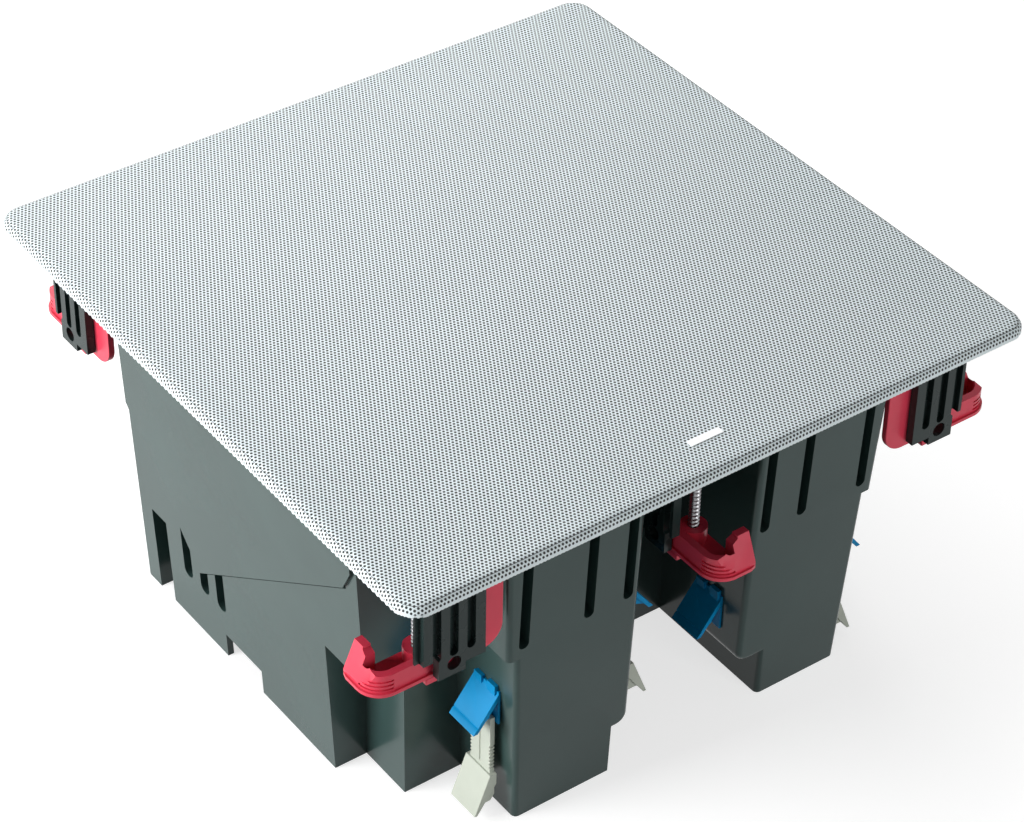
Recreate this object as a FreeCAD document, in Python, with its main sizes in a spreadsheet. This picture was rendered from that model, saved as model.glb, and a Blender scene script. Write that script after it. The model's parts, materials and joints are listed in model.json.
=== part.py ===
"""Square in-ceiling loudspeaker with a closed back box, standing grille up on its box."""

import FreeCAD
import Part
import Sketcher
import math
import os
import re

# Driving sizes in millimetres and degrees
SIZES = {
    # Overall form and grille
    "total_height": 171,
    "grille_side": 318,
    "grille_corner": 11,
    "grille_roll": 4,
    "grille_depth": 5,
    "grille_sheet": 0.8,
    "badge_length": 16.4,
    "badge_width": 3.8,
    "badge_thick": 0.5,
    "badge_inset": 19.3,
    "badge_shift": 1.8,
    # Ceiling opening and flange
    "cutout_side": 290,
    "flange_inset": 3,
    "flange_thick": 3.2,
    "flange_corner": 8,
    "seal_height": 0.5,
    "seal_gap": 2,
    "opening_half": 127,
    "opening_front": 60,
    "opening_step": 83,
    "opening_rear_half": 89,
    "opening_rear": 127,
    "lip_height": 14,
    "grille_magnet_radius": 4,
    "grille_magnet_sink": 1.6,
    # Back box
    "box_clearance": 4,
    "draft_run": 8,
    "wall": 3,
    "floor_lift": 14,
    "floor_thick": 3,
    "corner_x": 88,
    "corner_y": 94,
    "under_x": 117,
    "under_y": 65,
    "under_top": 73,
    "ear_reach": 4,
    "ear_rear": 118,
    "ear_bottom": 96,
    "recess_half": 43.5,
    "recess_rear": 64,
    "column_half": 30,
    "column_rear": 100,
    "column_bottom": 25.5,
    "recess_skew": 4.8,
    "tower_edge": 2.5,
    "tower_draft": 7,
    "column_round": 6,
    "panel_proud": 1.6,
    "panel_low_run": 35.8,
    "panel_low_rise": 12.7,
    "panel_high_run": 20.5,
    "panel_high_rise": 49,
    "panel_shoulder": 6.2,
    "panel_shoulder_rise": 11.5,
    "panel_rear_rise": 77,
    "panel_gap": 1.4,
    "panel_gap_depth": 1.6,
    "slot_y": 72,
    "slot_width": 12,
    "slot_depth": 14,
    "slot_top": 47,
    "notch_y": 6.5,
    "notch_width": 29,
    "notch_height": 13,
    "groove_width": 7,
    "groove_depth": 7,
    "groove_bottom": 27,
    "groove_inset": 22.5,
    "groove_pitch": 13.75,
    "groove_near": 25,
    "groove_middle": 20,
    "groove_far": 36,
    "tower_slot_width": 5,
    "tower_slot_depth": 9,
    "tower_slot_bottom": 101,
    "tower_slot_x": 56,
    "tower_slot_edge": 3.4,
    "tower_slot_inset": 6,
    # Clamps
    "hub_inset_side": 11,
    "hub_inset_front": 16.5,
    "hub_radius": 6,
    "hub_height": 9.5,
    "hook_drop": 39,
    "hook_height": 16,
    "hook_front": 9.5,
    "hook_reach": 27.5,
    "hook_low": 10,
    "hook_slant": 6,
    "hook_foot": 3,
    "hook_tip": 11,
    "hook_corner": 10,
    "hook_wall": 3,
    "hook_lip": 1,
    "hook_lip_height": 1.6,
    "hook_grip": 1,
    "hook_grip_depth": 0.7,
    "hook_start": 1,
    "hook_sweep": 29.6,
    "clamp_travel": 21,
    "screw_radius": 2.5,
    "screw_head_radius": 4.3,
    "screw_head_height": 3,
    "screw_tail": 7,
    "cross_width": 1,
    "cross_depth": 1.5,
    "running_fit": 0.05,
    "loose_fit": 0.3,
    "carriage_start": 4.5,
    "carriage_length": 29.5,
    "carriage_wall": 3,
    "carriage_height": 31,
    "carriage_round": 10,
    "lug_thick": 3,
    "post_start": 9.5,
    "short_post_start": 4.5,
    "post_end": 22.5,
    "post_gap": 0.4,
    "post_thick": 4,
    "post_drop": 54,
    "post_step": 11,
    "post_heel": 4,
    "post_lobe": 5.5,
    "post_groove": 4,
    "post_groove_depth": 3,
    "post_groove_pitch": 8.2,
    "post_groove_edge": 0.5,
    "post_groove_rise": 10,
    "post_window": 3.3,
    "post_window_rise": 6,
    "screw_boss_radius": 7,
    "screw_boss_height": 8,
    # Catches and ratchet slides on the towers
    "catch_width": 17.5,
    "catch_reach": 13.5,
    "catch_height": 16.5,
    "catch_plate": 2.2,
    "catch_cheek": 1.4,
    "cheek_inset": 1.4,
    "catch_back": 1,
    "catch_knob": 4,
    "slide_lap": 3,
    "slide_tongue_width": 14,
    "slide_tongue": 2.4,
    "slide_tongue_height": 35,
    "slide_height": 51,
    "slide_reach": 12.4,
    "slide_tooth": 1,
    "slide_plate_lap": 6,
    "slide_score": 0.5,
    "guide_width": 8,
    "guide_key": 3,
    "guide_key_depth": 0.7,
    "guide_height": 12,
    "outer_station_y": 117.3,
    "outer_station_top": 67.9,
    "inner_station_y": 122.2,
    "inner_station_top": 98.5,
    "lone_catch_y": 113.2,
    "lone_catch_top": 54.6,
    # Baffle and drivers
    "baffle_tilt": 15,
    "baffle_thick": 8,
    "baffle_level": 26,
    "baffle_front": 75.5,
    "woofer_x": 66,
    "woofer_y": 14,
    "woofer_radius": 65,
    "woofer_flange": 3,
    "basket_radius": 55,
    "basket_foot": 30,
    "basket_depth": 36,
    "basket_sheet": 2,
    "basket_seat": 4,
    "basket_window": 18,
    "cone_radius": 46,
    "cone_neck_depth": 18,
    "cone_sheet": 1,
    "cone_rim": 1.5,
    "coil_radius": 12.5,
    "coil_sheet": 0.6,
    "coil_length": 36,
    "coil_gap": 0.5,
    "cone_travel": 3.5,
    "surround_roll": 5,
    "surround_sheet": 0.8,
    "surround_foot": 2,
    "spider_depth": 30,
    "spider_sheet": 0.8,
    "cap_radius": 15,
    "cap_rise": 5,
    "cap_sheet": 1,
    "motor_radius": 36,
    "motor_plate": 4,
    "magnet_height": 16,
    "pole_vent": 4,
    "tweeter_run": 81,
    "tweeter_radius": 33,
    "tweeter_mouth": 15.5,
    "tweeter_motor_radius": 24,
    "tweeter_motor_depth": 24,
    "tweeter_well": 3,
    "dome_radius": 12,
    "dome_rise": 4,
    "dome_sheet": 0.6,
    # Filter board, terminals, wadding and fasteners
    "board_length": 110,
    "board_width": 70,
    "board_thick": 1.6,
    "board_y": 66,
    "standoff_height": 6,
    "standoff_radius": 3.5,
    "standoff_inset": 6,
    "choke_radius": 16,
    "choke_bore": 7,
    "choke_height": 14,
    "capacitor_radius": 8,
    "capacitor_height": 24,
    "terminal_length": 64,
    "terminal_width": 40,
    "terminal_thick": 3,
    "terminal_y": -20,
    "terminal_pitch": 30,
    "terminal_radius": 6,
    "terminal_height": 8,
    "stud_radius": 2,
    "wire_radius": 1.6,
    "stud_length": 14,
    "wadding_start": 62,
    "wadding_front": 30,
    "wadding_length": 85,
    "wadding_width": 46,
    "wadding_height": 18,
    "small_screw_radius": 1.7,
    "small_head_radius": 3.2,
    "small_head_height": 1.8,
    "small_screw_length": 16,
    "driver_screw_length": 12,
    "boss_radius": 6,
    "tower_screw_x": 70,
    "baffle_screw_x": 122,
    "baffle_screw_front": 40,
    "baffle_screw_side": 60,
    "baffle_screw_rear_x": 45,
    "baffle_screw_rear": 124,
    "driver_screw_radius": 1.5,
    "driver_head_radius": 2.6,
    "driver_head_height": 1.6,
    "driver_head_edge": 0.8,
}

# Places worked out from the driving sizes
FAR = "(2*grille_side)"
CEILING = "(total_height-grille_depth)"
CUT = "(cutout_side/2)"
TOP_HALF = f"({CUT}-box_clearance)"
BASE_HALF = f"({TOP_HALF}-draft_run)"
FLANGE_HALF = "(grille_side/2-flange_inset)"
FLANGE_TOP = f"({CEILING}+flange_thick)"
GRILLE_UNDER = "(total_height-grille_sheet)"
FLOOR_TOP = "(floor_lift+floor_thick)"
HUB_SIDE = f"({CUT}-hub_inset_side)"
HUB_FRONT = f"({CUT}-hub_inset_front)"
HOOK_TOP = f"({CEILING}-hook_drop)"
HOOK_BOTTOM = f"({HOOK_TOP}-hook_height)"
LUG_TOP = f"({HOOK_BOTTOM}-loose_fit)"
LUG_BOTTOM = f"({LUG_TOP}-lug_thick)"
CARRIAGE_FRONT = "(hook_front+hook_lip)"
POST_BACK = f"({CARRIAGE_FRONT}+post_gap)"
POST_FRONT = f"({POST_BACK}+post_thick)"
POST_BOTTOM = f"({CEILING}-post_drop)"
SCREW_SEAT = f"({FLANGE_TOP}-screw_head_height-1)"
TILT = "baffle_tilt"
BAFFLE_LEVEL = f"({CEILING}-baffle_level)"
SEAL_FACE = f"({CEILING}-seal_height)"

doc = FreeCAD.newDocument("ceiling_speaker")
sheet = doc.addObject("Spreadsheet::Sheet", "Sizes")
for row, (alias, number) in enumerate(SIZES.items(), start=1):
    sheet.set(f"A{row}", alias)
    sheet.set(f"B{row}", str(number))
    sheet.setAlias(f"B{row}", alias)
doc.recompute()


# Helpers for objects bound to the sheet
def bound(text):
    """Turn an expression in plain size names into one that reads the sheet."""
    return re.sub(r"[a-z_]{3,}", lambda m: f"Sizes.{m[0]}" if m[0] in SIZES else m[0], str(text))


def bind(thing, **expressions):
    for prop, text in expressions.items():
        thing.setExpression(prop.replace("__", "."), bound(text))
    return thing


def place(thing, x="0", y="0", z="0", axis=None, angle="0"):
    if axis is not None:
        thing.Placement = FreeCAD.Placement(FreeCAD.Vector(), FreeCAD.Rotation(axis, 1))
        bind(thing, Placement__Rotation__Angle=f"({angle})*1deg")
    return bind(thing, Placement__Base__x=x, Placement__Base__y=y, Placement__Base__z=z)


def new(kind, name):
    thing = doc.addObject(kind, name)
    thing.Label = thing.Name
    return thing


def block(name, x0, x1, y0, y1, z0, z1):
    thing = new("Part::Box", name)
    bind(thing, Length=f"({x1})-({x0})", Width=f"({y1})-({y0})", Height=f"({z1})-({z0})")
    return place(thing, x0, y0, z0)


def rod(name, radius, z0, z1, x="0", y="0", sector=None, turn=0):
    thing = new("Part::Cylinder", name)
    bind(thing, Radius=radius, Height=f"({z1})-({z0})")
    if sector is not None:
        thing.Angle = sector
        thing.Placement.Rotation = FreeCAD.Rotation(Z_AXIS, turn)
    return place(thing, x, y, z0)


def rod_along_y(name, radius, x, z, y0, y1):
    thing = new("Part::Cylinder", name)
    bind(thing, Radius=radius, Height=f"({y1})-({y0})")
    thing.Placement = FreeCAD.Placement(FreeCAD.Vector(), FreeCAD.Rotation(X_AXIS, -90))
    return place(thing, x, y0, z)


def rod_along_x(name, radius, y, z, x0, x1):
    thing = new("Part::Cylinder", name)
    bind(thing, Radius=radius, Height=f"({x1})-({x0})")
    thing.Placement = FreeCAD.Placement(FreeCAD.Vector(), FreeCAD.Rotation(Y_AXIS, 90))
    return place(thing, x0, y, z)


def cone(name, low_radius, high_radius, z0, z1):
    thing = new("Part::Cone", name)
    bind(thing, Radius1=low_radius, Radius2=high_radius, Height=f"({z1})-({z0})")
    return place(thing, "0", "0", z0)


def frustum(name, low_half, high_half, z0, z1):
    """A square block about the centre line whose sides lean."""
    thing = new("Part::Wedge", name)
    bind(thing, Xmin=f"-({low_half})", Xmax=low_half, Zmin=f"-({low_half})", Zmax=low_half)
    bind(thing, X2min=f"-({high_half})", X2max=high_half, Z2min=f"-({high_half})", Z2max=high_half)
    bind(thing, Ymin=z0, Ymax=z1)
    thing.Placement.Rotation = FreeCAD.Rotation(X_AXIS, 90)
    return thing


def fuse(name, things):
    if len(things) == 1:
        return things[0]
    whole = new("Part::MultiFuse", name)
    whole.Shapes = things
    return whole


def cut(name, base, tools):
    whole = new("Part::Cut", name)
    whole.Base = base
    whole.Tool = fuse(f"{name}_tools", tools)
    return whole


def common(name, first, second):
    whole = new("Part::MultiCommon", name)
    whole.Shapes = [first, second]
    return whole


def tube(name, outer, inner, z0, z1, x="0", y="0"):
    shell = rod(f"{name}_outer", outer, z0, z1, x, y)
    bore = rod(f"{name}_inner", inner, f"({z0})-1", f"({z1})+1", x, y)
    return cut(name, shell, [bore])


def prism(name, points, y0, y1, x_sign=1):
    """A polygon in the XZ plane, drawn through points, as deep as y0 to y1."""
    flat = new("Sketcher::SketchObject", f"{name}_outline")
    count = len(points)
    for k in range(count):
        angle = 2 * math.pi * k / count
        after = 2 * math.pi * (k + 1) / count
        start = FreeCAD.Vector(math.cos(angle), math.sin(angle), 0)
        end = FreeCAD.Vector(math.cos(after), math.sin(after), 0)
        flat.addGeometry(Part.LineSegment(start, end), False)
    for k in range(count):
        flat.addConstraint(Sketcher.Constraint("Coincident", k, 2, (k + 1) % count, 1))
    for k, (x, z) in enumerate(points):
        for kind, text in (("DistanceX", f"{x_sign}*({x})"), ("DistanceY", z)):
            index = flat.addConstraint(Sketcher.Constraint(kind, -1, 1, k, 1, 1.0))
            flat.setExpression(f"Constraints[{index}]", bound(text))
    flat.Placement.Rotation = FreeCAD.Rotation(X_AXIS, 90)
    solid = new("Part::Extrusion", name)
    solid.Base = flat
    solid.DirMode = "Custom"
    solid.Dir = FreeCAD.Vector(0, 1, 0)
    solid.Solid = True
    bind(solid, LengthFwd=f"({y1})-({y0})")
    bind(flat, Placement__Base__y=y0)
    return solid


def fillet(name, base, radius, chosen):
    """Round the edges of base for which chosen(edge) is true."""
    doc.recompute()
    thing = new("Part::Fillet", name)
    thing.Base = base
    picks = [k for k, edge in enumerate(base.Shape.Edges, start=1) if chosen(edge)]
    thing.Edges = [(k, radius, radius) for k in picks]
    return thing


def upright(edge):
    low, high = sorted((v.Point for v in (edge.Vertexes[0], edge.Vertexes[-1])), key=lambda p: p.z)
    return high.z - low.z > 0.9 * edge.Length and edge.Length > 1


X_AXIS = FreeCAD.Vector(1, 0, 0)
Y_AXIS = FreeCAD.Vector(0, 1, 0)
Z_AXIS = FreeCAD.Vector(0, 0, 1)
nodes = {}


def node(name, thing):
    thing.Label = name
    nodes[name] = thing
    return thing


def sided(x0, x1, side):
    """An x range given for the left, or its mirror image for the right."""
    return (x0, x1) if side == "left" else (f"-({x1})", f"-({x0})")


SIDES = ("left", "right")


# Grille: a folded steel tray with a rolled edge
def grille_form(name, half, corner, roll, z0, z1):
    slab = block(f"{name}_slab", f"-{half}", half, f"-{half}", half, z0, z1)
    rounded = fillet(f"{name}_corners", slab, corner, upright)
    top = max(v.Point.z for v in slab.Shape.Vertexes)

    def on_top(edge):
        return all(abs(v.Point.z - top) < 1e-6 for v in edge.Vertexes)

    return fillet(f"{name}_roll", rounded, roll, on_top)


CORNER = SIZES["grille_corner"]
ROLL = SIZES["grille_roll"]
SHEET = SIZES["grille_sheet"]
grille_outer = grille_form("grille_outer", "(grille_side/2)", CORNER, ROLL, CEILING, "total_height")
grille_inner = grille_form("grille_inner", "(grille_side/2-grille_sheet)", CORNER - SHEET, ROLL - SHEET,
                           f"{CEILING}-1", GRILLE_UNDER)
node("grille", cut("grille", grille_outer, [grille_inner]))
BADGE_Y = "(badge_inset-grille_side/2)"
node("badge", block("badge", "-badge_length/2-badge_shift", "badge_length/2-badge_shift",
                    f"{BADGE_Y}-badge_width/2", f"{BADGE_Y}+badge_width/2",
                    "total_height", "total_height+badge_thick"))

# Clamp sites: hub place, hand and turn of each, seen from above
SITES = {
    "front_left": (f"-{HUB_SIDE}", f"-{HUB_FRONT}", 1, 0),
    "front_right": (HUB_SIDE, f"-{HUB_FRONT}", -1, 0),
    "rear_left": (f"-{HUB_FRONT}", HUB_SIDE, 1, -90),
    "rear_right": (HUB_FRONT, HUB_SIDE, -1, 90),
    "front_middle": ("0", f"-{HUB_SIDE}", -1, -90),
}


def handed(x0, x1, hand):
    return (x0, x1) if hand > 0 else (f"-({x1})", f"-({x0})")


def at_site(thing, site):
    x, y, hand, turn = SITES[site]
    thing.Placement.Rotation = FreeCAD.Rotation(Z_AXIS, turn)
    return place(thing, x, y, "0")


# Ribbed posts and screw bosses that hang from the flange
def post(site):
    hand = SITES[site][2]
    start = "post_start" if site == "front_left" else "short_post_start"
    x0, x1 = handed(f"-{start}", "post_end", hand)
    plate = block(f"post_plate_{site}", x0, x1, f"-{POST_FRONT}", f"-{POST_BACK}", POST_BOTTOM, CEILING)
    x0, x1 = handed(f"-{start}-1", "0", hand)
    tools = [block(f"post_step_{site}", x0, x1, f"-{POST_FRONT}-1", f"-{POST_BACK}+1",
                   f"{POST_BOTTOM}-1", f"{POST_BOTTOM}+post_step")]
    low = f"{POST_BOTTOM}+post_groove_rise+post_groove/2"
    floor = f"-{POST_FRONT}+post_groove_depth"
    for k in range(0 if site == "front_left" else 1, 4):
        middle = f"(post_groove_edge-post_start+post_groove_pitch*{k})"
        x0, x1 = handed(f"{middle}-post_groove/2", f"{middle}+post_groove/2", hand)
        tools.append(block(f"post_groove_{site}_{k}", x0, x1, f"-{POST_FRONT}-1", floor, low, CEILING))
        tools.append(rod_along_y(f"post_groove_end_{site}_{k}", "post_groove/2", f"{hand}*{middle}", low,
                                 f"-{POST_FRONT}-1", floor))
    middle = "(post_groove_edge-post_start+post_groove_pitch*2)"
    tools.append(rod_along_y(f"post_window_{site}", "post_window", f"{hand}*{middle}",
                             f"{POST_BOTTOM}+post_window_rise", f"-{POST_FRONT}-1", f"-{POST_BACK}+1"))
    x0, x1 = handed(f"{middle}+post_lobe", "post_end+1", hand)
    tools.append(block(f"post_heel_{site}", x0, x1, f"-{POST_FRONT}-1", f"-{POST_BACK}+1",
                       f"{POST_BOTTOM}-1", f"{POST_BOTTOM}+post_heel"))
    shaped = cut(f"post_{site}", plate, tools)
    boss = rod(f"screw_boss_{site}", "screw_boss_radius", f"{CEILING}-screw_boss_height", CEILING)
    return at_site(fuse(f"post_with_boss_{site}", [shaped, boss]), site)


def screw_hole(site):
    shank = rod(f"screw_way_{site}", "screw_radius+running_fit*4", f"{CEILING}-screw_boss_height-1",
                f"{FLANGE_TOP}+1")
    seat = rod(f"screw_seat_{site}", "screw_head_radius+loose_fit", SCREW_SEAT, f"{FLANGE_TOP}+1")
    return at_site(fuse(f"screw_hole_{site}", [shank, seat]), site)


# Places of the screws that hold the flange to the box, and of the baffle screws
WALL_MIDDLE = f"({TOP_HALF}-wall-boss_radius*0.6)"
FLANGE_SCREWS = {
    "left_front": (f"-{WALL_MIDDLE}", "-under_y/2"),
    "left_rear": (f"-{WALL_MIDDLE}", "corner_x*0.6"),
    "right_front": (WALL_MIDDLE, "-under_y/2"),
    "right_rear": (WALL_MIDDLE, "corner_x*0.6"),
    "rear_left": ("-recess_half", WALL_MIDDLE),
    "rear_right": ("recess_half", WALL_MIDDLE),
    "tower_left": ("-tower_screw_x", f"-{WALL_MIDDLE}"),
    "tower_right": ("tower_screw_x", f"-{WALL_MIDDLE}"),
}
BAFFLE_SCREWS = {
    "front_left": ("-baffle_screw_x", "-baffle_screw_front"),
    "front_right": ("baffle_screw_x", "-baffle_screw_front"),
    "side_left": ("-baffle_screw_x", "baffle_screw_side"),
    "side_right": ("baffle_screw_x", "baffle_screw_side"),
    "rear_left": ("-baffle_screw_rear_x", "baffle_screw_rear"),
    "rear_right": ("baffle_screw_rear_x", "baffle_screw_rear"),
}
GRILLE_MAGNETS = [(f"{sx}*{FLANGE_HALF}*{fx}", f"{sy}*{FLANGE_HALF}*{fy}")
                  for sx in (-1, 1) for sy in (-1, 1) for fx, fy in ((0.95, 0.42), (0.42, 0.95))]

# Frame: flange plate, posts and bosses moulded in one piece
flange_slab = block("flange_slab", f"-{FLANGE_HALF}", FLANGE_HALF, f"-{FLANGE_HALF}", FLANGE_HALF,
                    SEAL_FACE, FLANGE_TOP)
flange_round = fillet("flange_round", flange_slab, SIZES["flange_corner"], upright)
SEAL_INSIDE = f"({CUT}+seal_gap)"
seal_hollow = block("seal_hollow", f"-{SEAL_INSIDE}", SEAL_INSIDE, f"-{SEAL_INSIDE}", SEAL_INSIDE,
                    f"{SEAL_FACE}-1", CEILING)
flange_plate = cut("flange_plate", flange_round, [seal_hollow])
lips = [block(f"flange_lip_{side}", *sided("-(opening_half-1)", "-(recess_half+wall+loose_fit)", side),
              "-opening_front-wall", "-opening_front-wall/2+loose_fit", f"{CEILING}-lip_height", CEILING)
        for side in SIDES]
frame_solid = fuse("frame_solid", [flange_plate] + lips + [post(site) for site in SITES])
frame_tools = [
    block("opening_main", "-opening_half", "opening_half", "-opening_front", "opening_step",
          f"{CEILING}-1", f"{FLANGE_TOP}+1"),
    block("opening_rear_part", "-opening_rear_half", "opening_rear_half", "opening_step-1", "opening_rear",
          f"{CEILING}-1", f"{FLANGE_TOP}+1"),
]
frame_tools += [screw_hole(site) for site in SITES]
for key, (x, y) in FLANGE_SCREWS.items():
    frame_tools.append(rod(f"flange_way_{key}", "small_screw_radius+running_fit", f"{CEILING}-1",
                           f"{FLANGE_TOP}+1", x, y))
    frame_tools.append(rod(f"flange_seat_{key}", "small_head_radius+loose_fit",
                           f"{FLANGE_TOP}-small_head_height", f"{FLANGE_TOP}+1", x, y))
for k, (x, y) in enumerate(GRILLE_MAGNETS):
    frame_tools.append(rod(f"magnet_seat_{k}", "grille_magnet_radius+running_fit",
                           f"{FLANGE_TOP}-grille_magnet_sink", f"{FLANGE_TOP}+1", x, y))
node("frame", cut("frame", frame_solid, frame_tools))
node("grille_magnets", fuse("grille_magnets", [
    rod(f"grille_magnet_{k}", "grille_magnet_radius", f"{FLANGE_TOP}-grille_magnet_sink", GRILLE_UNDER,
        x, y)
    for k, (x, y) in enumerate(GRILLE_MAGNETS)]))


def small_screw(name, x, y, top, length):
    shank = rod(f"{name}_shank", "small_screw_radius", f"{top}-small_head_height-{length}",
                f"{top}-small_head_height", x, y)
    head = rod(f"{name}_head", "small_head_radius", f"{top}-small_head_height", top, x, y)
    return fuse(name, [shank, head])


node("flange_screws", fuse("flange_screws", [
    small_screw(f"flange_screw_{key}", x, y, FLANGE_TOP, "small_screw_length")
    for key, (x, y) in FLANGE_SCREWS.items()]))


# Clamp hook: a walled dog on a hub, with a lip and grip grooves round its corner
def hook(site):
    hand = SITES[site][2]
    turn = 180 if hand > 0 else 270
    bend_x = "(hook_corner-hook_reach)"
    bend_y = "(hook_corner-hook_front)"

    def piece(part, x0, x1, y0, y1, z0, z1):
        left, right = handed(x0, x1, hand)
        return block(f"hook_{part}_{site}", left, right, y0, y1, z0, z1)

    def bend(part, outer, z0, z1, inner=None):
        outside = rod(f"hook_{part}_{site}", outer, z0, z1, f"{hand}*{bend_x}", bend_y, 90, turn)
        if inner is None:
            return outside
        inside = rod(f"hook_{part}_hollow_{site}", inner, f"{z0}-1", f"{z1}+1", f"{hand}*{bend_x}", bend_y)
        return cut(f"hook_{part}_ring_{site}", outside, [inside])

    lip_top = f"{HOOK_BOTTOM}+hook_lip_height"
    floor_top = f"{HOOK_BOTTOM}+hook_wall"
    pieces = [
        piece("front", bend_x, "hook_start", "-hook_front", "hook_wall-hook_front", HOOK_BOTTOM, HOOK_TOP),
        piece("side", "-hook_reach", "hook_wall-hook_reach", bend_y, "hook_tip", HOOK_BOTTOM, HOOK_TOP),
        bend("corner", "hook_corner", HOOK_BOTTOM, HOOK_TOP, "hook_corner-hook_wall"),
        bend("corner_floor", "hook_corner", HOOK_BOTTOM, floor_top),
        piece("floor", bend_x, "hook_start", "-hook_front", "hub_radius", HOOK_BOTTOM, floor_top),
        piece("side_floor", "-hook_reach", bend_x, bend_y, "hook_tip", HOOK_BOTTOM, floor_top),
        piece("tip", "-hook_reach", "3*hook_wall-hook_reach", "hook_tip-3*hook_wall", "hook_tip",
              HOOK_BOTTOM, HOOK_TOP),
        piece("lip_front", bend_x, "hook_start", "-hook_front-hook_lip", "-hook_front",
              HOOK_BOTTOM, lip_top),
        piece("lip_side", "-hook_reach-hook_lip", "-hook_reach", bend_y, "hook_tip", HOOK_BOTTOM, lip_top),
        bend("lip_corner", "hook_corner+hook_lip", HOOK_BOTTOM, lip_top, "hook_corner-hook_wall"),
        piece("rib", "hook_start-hook_wall", "hook_start", "-hook_front+1", "-hub_radius+1", HOOK_BOTTOM,
              f"{HOOK_BOTTOM}+hub_height/2"),
        rod(f"hook_hub_{site}", "hub_radius", HOOK_BOTTOM, f"{HOOK_BOTTOM}+hub_height"),
    ]
    slope = prism(f"hook_slope_{site}", [
        ("-hook_front-2*hook_lip", f"{HOOK_BOTTOM}+hook_low"), ("-hook_wall", f"{HOOK_BOTTOM}+hook_low+1"),
        ("hook_tip-2*hook_wall", f"{HOOK_TOP}-1"), ("hook_tip-2*hook_wall", f"{HOOK_TOP}+1"),
        ("-hook_front-2*hook_lip", f"{HOOK_TOP}+1")], "-2*hook_reach", "2*hook_reach")
    slope.Placement.Rotation = FreeCAD.Rotation(Z_AXIS, 90)
    slant = prism(f"hook_slant_{site}", [
        ("-hook_reach-2*hook_lip", f"{HOOK_BOTTOM}+hook_foot"), ("-hook_reach", f"{HOOK_BOTTOM}+hook_foot"),
        ("hook_slant-hook_reach", f"{HOOK_TOP}+1"), ("-hook_reach-2*hook_lip", f"{HOOK_TOP}+1")],
        "-2*hook_reach", "2*hook_reach", hand)
    bore = rod(f"hook_bore_{site}", "screw_radius+running_fit", f"{HOOK_BOTTOM}-1", f"{HOOK_TOP}+1")
    tools = [slope, slant, bore]
    for k in range(3):
        low = f"{lip_top}+hook_grip*(1+2*{k})"
        tools.append(bend(f"grip_{k}", "hook_corner+1", low, f"{low}+hook_grip",
                          "hook_corner-hook_grip_depth"))
    sweep = rod(f"hook_sweep_{site}", "hook_sweep", HOOK_BOTTOM, HOOK_TOP)
    within = common(f"hook_within_{site}", fuse(f"hook_solid_{site}", pieces), sweep)
    return at_site(cut(f"hook_{site}", within, tools), site)


# Clamp carriage: a tall guide wall behind the post and a lug that the screw drives
def carriage(site):
    hand = SITES[site][2]

    def piece(part, x0, x1, y0, y1, z0, z1):
        left, right = handed(x0, x1, hand)
        return block(f"carriage_{part}_{site}", left, right, y0, y1, z0, z1)

    end = "(carriage_start+carriage_length)"
    bottom = f"({HOOK_BOTTOM}+2)"
    front = f"-{CARRIAGE_FRONT}"
    back = f"-{CARRIAGE_FRONT}+carriage_wall"
    pieces = [
        piece("wall", "carriage_start", f"{end}-carriage_round", front, back, bottom,
              f"{bottom}+carriage_height"),
        piece("wing", f"{end}-carriage_round", end, front, back, f"{bottom}+carriage_round",
              f"{bottom}+carriage_height"),
        rod_along_y(f"carriage_round_{site}", "carriage_round", f"{hand}*({end}-carriage_round)",
                    f"{bottom}+carriage_round", front, back),
        piece("web", "carriage_start", "2*hub_radius", front, back, LUG_BOTTOM, bottom),
        piece("arm", "-hub_radius/2", "2*hub_radius", front, "hub_radius/2", LUG_BOTTOM, LUG_TOP),
        rod(f"carriage_lug_{site}", "hub_radius", LUG_BOTTOM, LUG_TOP),
    ]
    bore = rod(f"carriage_bore_{site}", "screw_radius+running_fit", f"{LUG_BOTTOM}-1", f"{LUG_TOP}+1")
    return at_site(cut(f"carriage_{site}", fuse(f"carriage_solid_{site}", pieces), [bore]), site)


# Clamp screw: a long machine screw with a cross recess
def clamp_screw(site):
    head_top = f"({SCREW_SEAT}+screw_head_height)"
    shank = rod(f"clamp_shank_{site}", "screw_radius", f"{LUG_BOTTOM}-screw_tail", SCREW_SEAT)
    head = rod(f"clamp_head_{site}", "screw_head_radius", SCREW_SEAT, head_top)
    long = "screw_head_radius*0.6"
    half = "cross_width/2"
    floor = f"{head_top}-cross_depth"
    slots = [block(f"cross_a_{site}", f"-{long}", long, f"-{half}", half, floor, f"{head_top}+1"),
             block(f"cross_b_{site}", f"-{half}", half, f"-{long}", long, floor, f"{head_top}+1")]
    solid = fuse(f"clamp_screw_solid_{site}", [shank, head])
    return at_site(cut(f"clamp_screw_{site}", solid, slots), site)


for site in SITES:
    node(f"clamp_hook_{site}", hook(site))
    node(f"clamp_carriage_{site}", carriage(site))
    node(f"clamp_screw_{site}", clamp_screw(site))

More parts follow.
